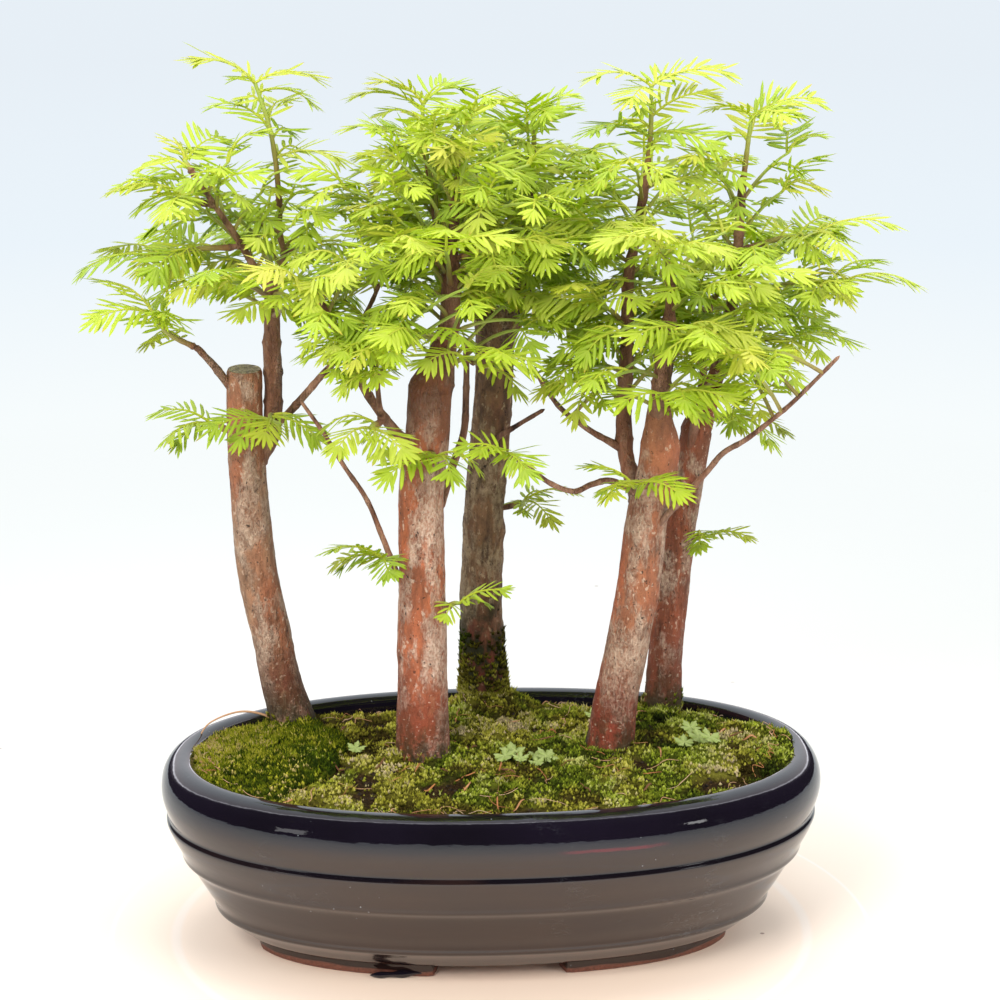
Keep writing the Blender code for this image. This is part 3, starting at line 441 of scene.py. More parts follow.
ROWS = (
    (
        ("top", (-64, 26, 232), ((-92, 20, 282), (-49, 32, 273)), 2,
         ((-65, 26, 246), (-67, 26, 258), (-71, 26, 271)), ((0.35, (-42, 20, 249)),)),
        ("leader_end", (-90, 12, 245), ((-100, 21, 259),), 1),
        ("west_high", (-84, 15, 235), ((-116, 2, 246),)),
        ("west", (-76, 21, 221), ((-129, 14, 216),)),
        ("west_back", (-67, 26, 211), ((-109, 49, 221),)),
        ("low_west", (-90, 14, 190), ((-125, 0, 205),), 2, ((-99, 10, 196), (-104, 7, 203))),
        ("back", (-66, 26, 207), ((-54, 85, 222), (-91, 80, 212)), 2, ((-68, 44, 211), (-70, 59, 214))),
        ("front", (-67, 26, 203), ((-88, -33, 226),)),
        ("front_east", (-67, 26, 197), ((-57, -33, 216),)),
        ("east", (-63, 26, 218), ((-33, 8, 221),)),
        ("low_back", (-76, 24, 159), ((-106, 40, 166),), 1),
        ("low_front", (-68, 25, 166), ((-70, -19, 171),)),
    ),
    (
        ("top", (-11, -1, 240), ((-18, -14, 273), (5, -11, 275)), 2, ((-10, -2, 252), (-8, -3, 263))),
        ("second_top", (-18, 13, 243), ((-36, 9, 277), (-9, 27, 273)), 1, ((-20, 15, 256), (-20, 15, 266)),
         ((0.3, (-45, 18, 261)),)),
        ("west", (-13, -1, 217), ((-45, -17, 239),)),
        ("far_west", (-54, -17, 215), ((-75, -38, 230),)),
        ("front", (-13, -1, 212), ((-18, -59, 245),)),
        ("front_low", (-14, -1, 196), ((-36, -54, 211),)),
        ("front_right", (-15, -1, 187), ((0, -53, 205),)),
        ("east", (-12, -1, 221), ((20, -26, 232),)),
        ("low_left", (-22, -3, 123), ((-55, -24, 137),)),
        ("low_right", (-22, -5, 108), ((6, -19, 121),), 0),
        ("branch", (-33, -7, 172), ((-52, -31, 169),), 1),
        ("notch", (-21, -2, 161), ((-14, -39, 163),), 1),
        ("right", (-7, 13, 186), ((10, -9, 180),), 1),
    ),
    (
        ("top", (15, 40, 240), ((2, 33, 266), (31, 43, 266)), 2, ((16, 39, 248), (16, 39, 257))),
        ("left_top", (-5, 49, 225), ((2, 53, 256), (-27, 50, 241)), 1, ((-3, 50, 233),)),
        ("rear_left", (-4, 49, 211), ((-18, 95, 212),)),
        ("rear_right", (15, 42, 220), ((30, 95, 223),)),
        ("east", (15, 42, 216), ((44, 50, 233),)),
        ("east_low", (13, 44, 197), ((41, 56, 183),)),
        ("low", (1, 45, 126), ((33, 40, 136),), 1),
    ),
    (
        ("top", (49, 13, 244), ((28, 8, 277), (77, 17, 276)), 2, ((50, 13, 257), (50, 13, 271)),
         ((0.35, (26, -3, 262)), (0.4, (72, 0, 254)))),
        ("west", (45, 11, 220), ((13, -15, 244),)),
        ("west_low", (43, 9, 196), ((21, -29, 221),)),
        ("front", (54, -11, 217), ((43, -63, 245),)),
        ("front_mid", (53, -11, 199), ((60, -61, 211),)),
        ("front_low", (51, -9, 178), ((55, -57, 190),)),
        ("low_left", (5, -27, 165), ((-9, -47, 174),), 1),
        ("low_fan", (50, -5, 149), ((32, -49, 160),)),
    ),
    (
        ("top", (81, 31, 236), ((67, 23, 264), (107, 33, 264)), 2, ((82, 29, 248), (83, 28, 258))),
        ("east", (80, 34, 214), ((130, 25, 226),), 3),
        ("east_low", (79, 36, 200), ((136, 15, 209),), 3),
        ("south_east", (76, 36, 183), ((116, 6, 192),)),
        ("front", (70, 18, 202), ((80, -35, 226),)),
        ("back", (79, 35, 206), ((100, 89, 214),)),
        ("back_low", (75, 36, 177), ((74, 91, 176),)),
        ("low", (63, 36, 119), ((87, 20, 124),), 1),
        ("low_back", (71, 36, 160), ((102, 44, 152),)),
    ),
)

SHOOTS = tuple(Shoot(f"shoot_{NAMES[tree]}_{row[0]}", tree, *row[1:])
               for tree, rows in enumerate(ROWS) for row in rows)


def rods_along(course: Array, start: Any, end: Any) -> Array:
    """A path as tapered rods: start, end, and a radius at each."""
    ones = np.ones(len(course) - 1)
    return np.column_stack([course[:-1], course[1:], start * ones, end * ones])


def clear_gap(first: Array, second: Array) -> float:
    """The smallest gap between two sets of tapered rods, from the closest points of each pair.

    Args:
        first: Rods, each a start, an end and two radii.
        second: The others.

    Returns:
        The gap, below zero where they cross.
    """
    a, b = first[:, None, :3], first[:, None, 3:6]
    c, d = second[None, :, :3], second[None, :, 3:6]
    u, v, w = b - a, d - c, a - c
    uu, vv, uv = (u * u).sum(-1), (v * v).sum(-1) + 1e-12, (u * v).sum(-1)
    uw, vw = (u * w).sum(-1), (v * w).sum(-1)
    scale = uu * vv - uv * uv
    s = np.where(scale > 1e-9, (uv * vw - uw * vv) / np.maximum(scale, 1e-9), 0.0).clip(0, 1)
    t = ((uv * s + vw) / vv).clip(0, 1)
    s = ((uv * t - uw) / (uu + 1e-12)).clip(0, 1)
    apart = np.linalg.norm(w + u * s[..., None] - v * t[..., None], axis=-1)
    thick = first[:, None, 6] + (first[:, None, 7] - first[:, None, 6]) * s
    thick = thick + second[None, :, 6] + (second[None, :, 7] - second[None, :, 6]) * t
    return float((apart - thick).min())


@dataclass(frozen=True)
class Growth:
    """How the shoots and sprays are laid out, and where each one finds room.

    Attributes:
        stand_off: How far a spur stands out of the wood.
        arch: Height of a spray's arch as a share of its length.
        rib_root: Bare length of a rib.
        droop: How far a needle hangs, as a share of its length.
        first_side: Share of a stem where its outermost side spray stands.
        side_span: Share of it over which the others follow.
        tries: How many ways a spray is turned to find room.
        neighbour_reach: Distance within which it looks for others.
    """

    flare_height: float = 56.0
    flare_fade: float = 14.0
    spur_radius: float = 1.0
    stand_off: float = 1.7
    butt_gap: float = 0.3
    length: float = 27.0
    side_length: float = 24.5
    arch: float = 0.09
    rib_root: float = 2.6
    needle: float = 12.0
    droop: float = 0.16
    pair_spacing: float = 5.5
    fewest_pairs: int = 4
    most_pairs: int = 5
    first_side: float = 0.92
    side_span: float = 0.62
    side_angle: float = math.radians(54.0)
    tries: int = 26
    clearance: float = 0.25
    neighbour_reach: float = 48.0

    def limb_course(self, limb: Limb, count: int | None = None) -> tuple[Array, Array]:
        """A limb's centre points and radii: its radius runs evenly from start to end, plus the flare.

        Args:
            limb: The limb.
            count: How many rings, or None for those of its plain form.

        Returns:
            The points and the radii.
        """
        rings = count or limb.rings
        points = smooth_route(limb.route, rings, 24 if count else 8)
        radii = limb.start_radius + (limb.end_radius - limb.start_radius) * np.linspace(0.0, 1.0, rings)
        if limb.flare:
            radii = radii + limb.flare * np.exp(-((points[:, 2] - self.flare_height) / self.flare_fade) ** 2)
        return points, radii

    def tree_rods(self, tree: int) -> Array:
        """All limbs of a tree as rods."""
        courses = (self.limb_course(limb) for limb in TREES[tree])
        return np.concatenate([rods_along(points, radii[:-1], radii[1:]) for points, radii in courses])

    def spur_of(self, shoot: Shoot) -> tuple[Array, Array, float]:
        """Where a shoot leaves the wood: on the rod nearest to its root, towards its first point.

        Args:
            shoot: The shoot.

        Returns:
            The point inside the wood, the direction and the spur's length.
        """
        rods = self.tree_rods(shoot.tree)
        root = np.array(shoot.root, float)
        starts, ends = rods[:, :3], rods[:, 3:6]
        span = ends - starts
        along = np.clip(np.sum((root - starts) * span, axis=1) / np.sum(span * span, axis=1), 0.0, 1.0)
        nearest = starts + along[:, None] * span
        pick = int(np.argmin(np.linalg.norm(nearest - root, axis=1)))
        radius = rods[pick, 6] + (rods[pick, 7] - rods[pick, 6]) * along[pick]
        target = np.array(shoot.stem[0] if shoot.stem else shoot.tips[0], float)
        base = nearest[pick]
        direction, axis = unit(target - base), unit(span[pick])
        at_end = along[pick] > 0.999 and np.dot(direction, axis) > 0.3
        slant = max(np.linalg.norm(np.cross(direction, axis)), 0.4)
        return base, direction, float(self.stand_off if at_end else radius / slant + self.stand_off)

    def stem_course(self, shoot: Shoot) -> Array:
        """A stem's points, from its foot to its last spray.

        Args:
            shoot: The shoot.

        Returns:
            The points.
        """
        base, direction, length = self.spur_of(shoot)
        foot = base + direction * (length + self.butt_gap)
        if shoot.stem:
            return np.vstack([foot, np.array(shoot.stem, float)])
        tip = np.array(shoot.tips[0], float)
        reach = np.linalg.norm(tip - foot)
        end = foot + (tip - foot) * max(reach - self.length, 4.0) / reach
        return np.vstack([foot, 0.5 * (foot + end) + UP * 0.02 * reach, end])

    @staticmethod
    def spray_axes(root: Array, tip: Array, roll: float) -> tuple[Array, Array, Array]:
        """Forward, side and up of a spray; its flat lies level unless it is rolled.

        Args:
            root: Where the spray starts.
            tip: Where it reaches.
            roll: Its turn about its rib.

        Returns:
            The three directions.
        """
        forward = unit(tip - root)
        level = np.cross(forward, UP)
        if np.linalg.norm(level) < 0.25:
            level = np.array([1.0, 0.3, 0.0])
        side = turned(unit(level - forward * np.dot(level, forward)), forward, roll)
        return forward, side, np.cross(side, forward)

    def spray_rods(self, spray: Spray) -> Array:
        """A spray's plain form as rods: an arch of height 4s(1-s), with its longest needles mid-way.

        Args:
            spray: The spray.

        Returns:
            The rods of its rib, of its end and of the needles on either hand.
        """
        forward, side, up = self.spray_axes(spray.start, spray.tip, spray.roll)
        length = np.linalg.norm(spray.tip - spray.start)
        last = 0.5 * self.needle
        rib_length = length - last
        first = min(self.rib_root, 0.3 * rib_length) / rib_length
        share = np.concatenate([[0.0], np.linspace(first, 1.0, spray.pairs + 1)])
        arch = self.arch * length * 4 * share * (1 - share)
        stations = spray.start + np.outer(share * rib_length, forward) + np.outer(arch, up)
        middles = 0.5 * (share[1:-1] + share[2:])
        reach = self.needle * (0.62 + 0.38 * np.sin(np.pi * (0.15 + 0.72 * middles)))
        reach = reach * np.where(middles > 0.8, 0.86, 1.0)
        opening = np.radians(66.0 - 24.0 * middles)
        roots = 0.5 * (stations[1:-1] + stations[2:])
        end = stations[-1] + last * unit(forward - 2.0 * self.arch * up)
        rods = [rods_along(stations, 0.6, 0.6), [(*stations[-1], *end, 0.6, 0.2)]]
        for hand in (-1, 1):
            lean = np.outer(np.cos(opening), forward) + hand * np.outer(np.sin(opening), side)
            lean = lean - self.droop * up
            ones = np.ones(len(roots))
            rods.append(np.column_stack([roots, roots + reach[:, None] * lean, 1.15 * ones, 0.15 * ones]))
        return np.concatenate(rods)

    def planned(self) -> list[tuple[int, Array, Array]]:
        """Every spray of the plain form that is wanted: shoot, start and tip.

        Returns:
            The number of the shoot, the start and the tip of each.
        """
        rounds: list[list[tuple[int, Array, Array]]] = [[], [], [], [], []]
        for index, shoot in enumerate(SHOOTS):
            course = self.stem_course(shoot)
            rounds[0] += [(index, course[-1], np.array(tip, float)) for tip in shoot.tips]
            rounds[1] += [(index, point_along(course, share), np.array(tip, float))
                          for share, tip in shoot.extra]
            for number in range(shoot.sides):
                share = self.first_side - number * self.side_span / shoot.sides
                start, heading = point_along(course, share), heading_at(course, share)
                if abs(heading[2]) > 0.8:
                    toward = unit(0.35 * heading + bearing_of(GOLDEN_ANGLE * number + 1.7 * index))
                else:
                    out = (1 if (number + index) % 2 else -1) * unit(np.cross(heading, UP))
                    way = math.cos(self.side_angle) * heading + math.sin(self.side_angle) * out
                    toward = unit(way + 0.06 * UP)
                rounds[1 + min(number, 3)].append((index, start, start + self.side_length * toward))
        return [job for jobs in rounds for job in jobs]

    def placed(self) -> list[Spray]:
        """The sprays of the plain form, each turned until it clears the wood and the other shoots.

        Returns:
            Those that found room.
        """
        thick = self.spur_radius
        solid = [(-1, self.tree_rods(tree)) for tree in range(len(TREES))]
        for index, shoot in enumerate(SHOOTS):
            base, direction, length = self.spur_of(shoot)
            solid.append((-1, rods_along(np.stack([base, base + direction * length]), thick, thick)))
            solid.append((index, rods_along(self.stem_course(shoot), thick, thick)))
        kept = []
        for index, start, wanted in self.planned():
            span = wanted - start
            others = np.concatenate([rods for owner, rods in solid if owner != index])
            middle = 0.5 * (others[:, :3] + others[:, 3:6])
            others = others[np.linalg.norm(middle - (start + 0.5 * span), axis=1) < self.neighbour_reach]
            sisters = [rods for owner, rods in solid if owner == index and len(rods) > 6]
            best = None
            for attempt in range(self.tries):
                swing = math.radians(1.9 * attempt) * math.sin(GOLDEN_ANGLE * attempt)
                lift = math.radians(1.6 * attempt) * math.cos(GOLDEN_ANGLE * attempt)
                toward = turned(turned(span, UP, swing), unit(np.cross(span, UP) + 1e-6), lift)
                toward = toward * (1.0 - 0.010 * attempt)
                pairs = round(float(np.linalg.norm(toward)) / self.pair_spacing)
                pairs = int(np.clip(pairs, self.fewest_pairs, self.most_pairs))
                spray = Spray(index, start, start + toward, 0.35 * math.sin(1.7 * attempt + index), pairs)
                rods = self.spray_rods(spray)
                if clear_gap(rods[1:], others) < self.clearance:
                    continue
                crossed = sum(clear_gap(rods[2:], sister[2:]) < 0.0 for sister in sisters)
                if best is None or crossed < best[0]:
                    best = (crossed, spray, rods)
                if crossed == 0:
                    break
            if best is not None:
                solid.append((index, best[2]))
                kept.append(best[1])
        return kept


def operator(operation: str, flipped: bool = False) -> Callable[..., "Field"]:
    """An operator that adds a Math node, with its two sides swapped where it is flipped.

    Args:
        operation: The node's operation.
        flipped: Whether its sides are swapped.

    Returns:
        The operator.
    """
    def apply(left: "Field", right: Any) -> "Field":
        """The node's result."""
        return left.reckon(operation, right, left) if flipped else left.reckon(operation, left, right)
    return apply


class Field:
    """A node socket that can be written in sums: each operator adds its Math node."""

    __add__, __radd__ = operator("ADD"), operator("ADD", True)
    __sub__, __rsub__ = operator("SUBTRACT"), operator("SUBTRACT", True)
    __mul__, __rmul__ = operator("MULTIPLY"), operator("MULTIPLY", True)
    __truediv__, __pow__ = operator("DIVIDE"), operator("POWER")

    def __init__(self, nodes: "Nodes", socket: bpy.types.NodeSocket) -> None:
        """Wraps a socket of a node tree."""
        self.nodes = nodes
        self.socket = socket

    def reckon(self, operation: str, *values: Any, clamp: bool = False) -> "Field":
        """Adds a Math node."""
        settings = {"operation": operation, "use_clamp": clamp}
        return self.nodes.node("ShaderNodeMath", settings, dict(enumerate(values)))

    def __abs__(self) -> "Field":
        """The value without its sign."""
        return self.reckon("ABSOLUTE", self)

    def clamped(self) -> "Field":
        """The value held between 0 and 1."""
        return self.reckon("ADD", self, 0.0, clamp=True)

    def step(self, low: float, high: float) -> "Field":
        """Rises from 0 at low to 1 at high, or falls where high is the smaller."""
        return ((self - low) / (high - low)).clamped()

    def band(self, middle: float, reach: float, edge: float) -> "Field":
        """A band: 0 past its reach either side of the middle, and 1 within a share of it, the edge."""
        return (abs(self - middle) / reach).step(1.0, edge)


class Nodes:
    """A node tree: one generic node method and the few patterns that the pieces share."""

    def __init__(self, tree: bpy.types.NodeTree) -> None:
        """Takes a tree."""
        self.tree = tree

    def node(self, kind: str, settings: dict[str, Any] | None = None, sockets: dict[Any, Any] | None = None,
             output: int | str = 0) -> Field:
        """Adds a node.

        Args:
            kind: The node's type.
            settings: Its own settings, set first; stops gives a colour ramp's stops.
            sockets: Values or fields for its sockets, by name or number.
            output: The socket that the result is read from.

        Returns:
            The output as a field.
        """
        made = self.tree.nodes.new(kind)
        for name, value in (settings or {}).items():
            if name == "stops":
                elements = made.color_ramp.elements
                while len(elements) < len(value):
                    elements.new(1.0)
                for element, (place, colour) in zip(elements, value):
                    element.position = place
                    element.color = (*colour, 1.0)
            else:
                setattr(made, name, value)
        for key, value in (sockets or {}).items():
            self.feed(made.inputs[key], value)
        return Field(self, made.outputs[output])

    def feed(self, socket: bpy.types.NodeSocket, value: Any) -> None:
        """Links a field to a socket, or sets its value.

        Args:
            socket: A node's input.
            value: A field, a colour or a number.
        """
        if isinstance(value, Field):
            self.tree.links.new(value.socket, socket)
        elif isinstance(value, tuple) and len(value) == 3 and socket.type == "RGBA":
            socket.default_value = (*value, 1.0)
        else:
            socket.default_value = value

    def ramp(self, value: Field, *stops: tuple[float, tuple]) -> Field:
        """A colour ramp over a value."""
        return self.node("ShaderNodeValToRGB", {"stops": stops}, {0: value})

    def end_in(self, kind: str, share: Any, first: Field, second: Field) -> None:
        """Ends the tree, a material's or a world's, in a blend of two shaders."""
        both = self.node("ShaderNodeMixShader", sockets={0: share, 1: first, 2: second})
        self.feed(self.tree.nodes[kind].inputs["Surface"], both)


class Finish(Nodes):
    """A procedural material."""

    def __init__(self, name: str) -> None:
        """Starts a node material with its Principled shader.

        Args:
            name: The material's name.
        """
        self.material = bpy.data.materials.new(name)
        self.material.use_nodes = True
        super().__init__(self.material.node_tree)
        self.shader = self.tree.nodes["Principled BSDF"]

    def place(self) -> Field:
        """Object coordinates, measured from the tray's middle, in metres."""
        spot = self.node("ShaderNodeTexCoord", output="Object")
        return self.node("ShaderNodeVectorMath", {"operation": "SUBTRACT"}, {0: spot, 1: tuple(TRAY_MIDDLE)})

    def parts(self, kind: str, whole: Field) -> tuple[Field, ...]:
        """The three values of a vector or a colour."""
        outputs = self.node(kind, sockets={0: whole}).socket.node.outputs
        return tuple(Field(self, outputs[k]) for k in range(3))

    def axes(self) -> tuple[Field, ...]:
        """The three coordinates of the place."""
        return self.parts("ShaderNodeSeparateXYZ", self.place())

    def tint(self) -> tuple[Field, ...]:
        """The three tint values of the mesh."""
        colour = self.node("ShaderNodeAttribute", {"attribute_name": "tint"}, output="Color")
        return self.parts("ShaderNodeSeparateColor", colour)

    def noise(self, scale: float, detail: float = 3.0, tall: float | None = None,
              rough: float = 0.55) -> Field:
        """Noise over the object from 0 to 1.

        Args:
            scale: Cells a metre.
            detail: Octaves.
            tall: Scale along Z; below 1 it draws the noise out upwards.
            rough: How strong the finer octaves are.

        Returns:
            The noise as a field.
        """
        spot = self.place()
        if tall is not None:
            spot = self.node("ShaderNodeMapping", sockets={"Vector": spot, "Scale": (1.0, 1.0, tall)})
        sockets = {"Vector": spot, "Scale": scale, "Detail": detail, "Roughness": rough}
        return self.node("ShaderNodeTexNoise", sockets=sockets)

    def cells(self, scale: float) -> Field:
        """Distance to the nearest of scattered points."""
        sockets = {"Vector": self.place(), "Scale": scale}
        return self.node("ShaderNodeTexVoronoi", sockets=sockets, output="Distance")

    def coats(self, colour: Any, *coats: tuple[Any, Any]) -> Field:
        """Lays coats over a colour, each a share and its own colour.

        Args:
            colour: The colour below.
            coats: Share and colour of each coat.

        Returns:
            The colour of them all.
        """
        settings = {"data_type": "RGBA", "blend_type": "MIX", "clamp_factor": True}
        for share, coat in coats:
            colour = self.node("ShaderNodeMix", settings, {0: share, 6: colour, 7: coat}, 2)
        return colour

    def bump(self, height: Field, distance: float, strength: float = 1.0,
             below: Field | None = None) -> Field:
        """A bump from a height field, on top of another where one is given.

        Args:
            height: The relief.
            distance: Its height in metres.
            strength: How strongly it shows.
            below: The bump under it.

        Returns:
            The normal.
        """
        sockets = {"Height": height, "Distance": distance, "Strength": strength}
        if below is not None:
            sockets["Normal"] = below
        return self.node("ShaderNodeBump", sockets=sockets)

    def surface(self, **sockets: Any) -> Material:
        """Feeds the Principled shader and returns the material; underscores stand for spaces.

        Args:
            sockets: Values for the shader's sockets.

        Returns:
            The material.
        """
        for name, value in sockets.items():
            self.feed(self.shader.inputs[name.replace("_", " ")], value)
        return self.material

    def mixed_with(self, share: Any, other: Field) -> Material:
        """Blends the Principled shader with another, and returns the material."""
        self.end_in("Material Output", share, Field(self, self.shader.outputs["BSDF"]), other)
        return self.material


def dimmed(colour: Colour, share: float) -> tuple:
    """A colour at a share of its light."""
    return tuple(share * part for part in colour)


@dataclass(frozen=True)
class Glaze:
    """Near-black gloss with a breath of purple, browner on the wall below the lip, partly its own tone and
    partly a painted reflection of the warm floor, with a painted shadow line along the groove and bare clay
    at the feet.
    """

    purple: Colour = (0.0065, 0.0045, 0.0090)
    black: Colour = (0.004, 0.003, 0.005)
    brown: Colour = (0.022, 0.0105, 0.0075)
    red: Colour = (0.085, 0.008, 0.014)
    clay: Colour = (0.20, 0.068, 0.040)
    lime: Colour = (0.34, 0.37, 0.38)
    clay_height: float = 0.0019
    groove_height: float = 0.0426

    def build(self) -> Material:
        """Lays glaze over clay: the glaze ends at a wavy line near the floor and under the bowl.

        The second tint value marks the feet, the third the run of glaze on one, which stays glazed.

        Returns:
            The material.
        """
        made = Finish("tray_glaze")
        _, foot, run = made.tint()
        x, y, z = made.axes()
        wavy = z + (made.noise(26.0, 2.0) - 0.5) * 0.0055
        low = wavy.step(self.clay_height + 0.0003, self.clay_height - 0.0003)
        inside = ((x / 0.0790) ** 2.0 + (y / 0.0420) ** 2.0).step(1.02, 0.98)
        under = inside * z.step(0.0095, 0.0091) * (1.0 - foot)
        bare = ((low + under).clamped() - run).clamped()
        # thin: brown base colour below the lip, mottled: partly the glaze's own tone, partly a painted
        # reflection of the warm floor.
        thin = z.step(0.0535, 0.0490) * (0.62 + made.noise(30.0, 4.0, 2.5).step(0.35, 0.70) * 0.38)
        # groove: a painted shadow line, near-black and broken by noise, along the groove in the wall.
        reach = z + (made.noise(24.0, 3.0, 0.3) - 0.5) * 0.0010 - self.groove_height
        groove = (abs(reach) / 0.0013).step(1.0, 0.45) * made.noise(14.0, 2.0).step(0.36, 0.50)
        streaky = (abs(z - 0.0516 + (made.noise(60.0, 2.0) - 0.5) * 0.0012) / 0.0008).step(1.0, 0.3)
        blush = streaky * x.band(0.033, 0.018, 0.55) * y.step(0.0, -0.02)
        scale = made.noise(170.0, 5.0, 3.0, 0.6).band(0.5, 0.008, 0.3)
        scale = scale * made.noise(22.0, 3.0).step(0.60, 0.68)
        dust = made.cells(300.0).step(0.09, 0.05) * made.noise(60.0, 2.0).step(0.55, 0.62)
        grit = made.noise(1400.0, 4.0)
        colour = made.coats(
            made.ramp(made.noise(18.0, 3.0), (0.35, self.black), (0.65, self.purple)),
            # Brown below the lip: partly the glaze's tone, partly a painted reflection of the warm floor.
            ((thin - run).clamped(), self.brown),
            # Painted shadow along the groove.
            (groove * 0.94, self.black),
            (blush * made.noise(90.0, 3.0).step(0.36, 0.55), self.red),
            (scale * 0.16 + dust * 0.5, self.lime),
            (bare, made.ramp(grit, (0.3, dimmed(self.clay, 0.45)), (0.7, self.clay))))
        dull = made.noise(34.0, 5.0, 3.0).step(0.45, 0.80)
        rough = 0.045 + dull * 0.08 + made.noise(420.0, 3.0).step(0.55, 0.85) * 0.10 + bare * 0.65
        wave = made.bump(made.noise(26.0, 2.0), 0.00060, 0.6)
        wave = made.bump(made.noise(120.0, 3.0, 3.0), 0.00009, 0.7, wave)
        wave = made.bump(grit * bare, 0.0002, 0.8, wave)
        return made.surface(Base_Color=colour, Roughness=rough + groove * 0.06, Normal=wave, IOR=1.62)


@dataclass(frozen=True)
class Bark:
    """Red-brown bark with a broken pale crust, dark pits and stains, green at the moss, fissures darkened
    partly as painted shade, and a browner top that is partly painted shade under the foliage.

    Attributes:
        warm: The smooth orange-red skin where the crust has come off.
        limed: How much of it there is, from -0.2 to 0.2.
        stained: Height in metres up to which it is stained dark green.
        foot: Its deep red at the foot.
        brown_and_shade_above: Height in metres above which it is browner: partly darker brown bark, partly
            painted shade under the foliage.
    """

    name: str
    main: Colour
    warm: Colour
    brown: Colour
    foot: Colour
    crust: Colour = (0.63, 0.44, 0.31)
    limed: float = 0.0
    stained: float = 0.070
    brown_and_shade_above: float = 0.158
    dark: Colour = (0.022, 0.012, 0.008)
    twig: Colour = (0.20, 0.088, 0.052)
    pale_twig: Colour = (0.46, 0.25, 0.155)
    wood: Colour = (0.56, 0.45, 0.30)
    algae: Colour = (0.022, 0.030, 0.010)

    def build(self) -> Material:
        """Colours the bark from noise drawn out along the trunk and from its fissures.

        The tint holds the depth of the fissures, how much the limb is a trunk and where it is cut. The
        fissures are darkened, partly as the darker inner bark and partly as painted shade in the cracks.

        Returns:
            The material.
        """
        made = Finish(self.name)
        fissure, trunk, cut = made.tint()
        _, _, z = made.axes()
        streaks = made.noise(330.0, 5.0, 0.20, 0.62)
        speck = made.noise(1500.0, 4.0, 0.55, 0.6)
        lime = made.noise(95.0, 6.0, 0.42, 0.66) + z.band(0.108, 0.050, 0.2) * 0.07 + self.limed
        flake = made.noise(300.0, 5.0, 0.55, 0.7)
        crust = lime.step(0.530, 0.60) * (speck.step(0.36, 0.58) * 0.6 + flake.step(0.42, 0.52) * 0.4)
        pits = made.noise(900.0, 3.0, 0.7).step(0.635, 0.70)
        low = (z + (made.noise(120.0, 4.0, 0.5) - 0.5) * 0.030).step(0.092, 0.078)
        nicks = made.noise(640.0, 3.0, 1.5).step(0.63, 0.68) * low
        # high: browner above the capped height, partly darker bark and partly painted shade under the
        # foliage.
        high = (z + (made.noise(90.0, 3.0, 0.5) - 0.5) * 0.050).step(self.brown_and_shade_above, self.brown_and_shade_above + 0.016)
        stain = z.step(self.stained + 0.012, self.stained - 0.008)
        stain = stain * made.noise(210.0, 5.0, 0.6, 0.65).step(0.40, 0.52)
        colour = made.coats(
            self.main,
            (made.noise(60.0, 3.0, 0.4).step(0.42, 0.60), self.warm),
            (streaks.step(0.48, 0.72) * 0.85, self.brown),
            (flake.step(0.56, 0.40) * 0.45, self.brown),
            (crust * 0.88, self.crust),
            (made.noise(700.0, 2.0, 0.6).step(0.62, 0.68) * 0.72, self.crust),
            # Dark pits, and the fissures darkened: partly darker inner bark, partly painted shade in the
            # cracks.
            (pits * 0.85 + fissure * 0.7, self.dark),
            (low * (0.90 - crust * 0.40) * flake.step(0.36, 0.46), self.foot),
            (nicks * 0.7, self.crust),
            (high * 0.80, self.brown),
            (stain * 0.93, self.algae))
        twig = made.ramp(streaks, (0.30, self.dark), (0.44, self.twig), (0.68, self.pale_twig))
        rings = made.ramp(made.noise(700.0, 3.0), (0.35, dimmed(self.wood, 0.4)), (0.65, self.wood))
        colour = made.coats(twig, (trunk, colour), (cut, rings))
        grain = made.bump(streaks + flake * 0.8, 0.0018, 0.9)
        grain = made.bump(speck + crust * 0.55, 0.0008, 1.0, grain)
        return made.surface(Base_Color=colour, Roughness=0.55 + speck * 0.35, Normal=grain)


@dataclass(frozen=True)
class Leaf:
    """Soft lime needles: deep green when old and as painted shade, pale yellow-green when new and as painted
    light, orange at some tips.
    """

    deep: Colour = (0.20, 0.32, 0.020)
    green: Colour = (0.36, 0.51, 0.022)
    lime: Colour = (0.56, 0.67, 0.032)
    pale: Colour = (0.71, 0.72, 0.12)
    rib: Colour = (0.72, 0.76, 0.18)
    burnt: Colour = (0.68, 0.30, 0.07)
    glow: Colour = (0.70, 0.82, 0.045)
    through: float = 0.44

    def build(self) -> Material:
        """Colours a needle by its tint, which holds old to new growth with painted shade and light laid in,
        its midrib and burnt tip, and lets light through it.

        Returns:
            The material.
        """
        made = Finish("needles")
        age_and_shade, rib, burn = made.tint()
        mottle = made.noise(900.0, 2.0) - 0.5
        tones = (0.0, self.deep), (0.33, self.green), (0.66, self.lime), (1.0, self.pale)
        aged_and_shaded = made.ramp(age_and_shade + mottle * 0.10, *tones)
        colour = made.coats(aged_and_shaded, (rib * 0.45, self.rib), (burn, self.burnt))
        made.surface(Base_Color=colour, Roughness=0.45, Normal=made.bump(mottle, 0.0002, 0.4))
        glow = made.node("ShaderNodeBsdfTranslucent", sockets={"Color": self.glow}, output="BSDF")
        return made.mixed_with(self.through, glow)


@dataclass(frozen=True)
class GreenStem:
    """New stems: green turning to brown at the foot."""

    green: Colour = (0.34, 0.42, 0.07)
    brown: Colour = (0.26, 0.11, 0.05)

    def build(self) -> Material:
        """Colours a stem by its tint: the first value is how woody it is.

        Returns:
            The material.
        """
        made = Finish("green_stem")
        woody, _, _ = made.tint()
        streaks = made.noise(900.0, 3.0, 0.3)
        colour = made.coats(self.green, (woody + (streaks - 0.5) * 0.5, self.brown))
        return made.surface(Base_Color=colour, Roughness=0.55, Normal=made.bump(streaks, 0.0003, 0.5))


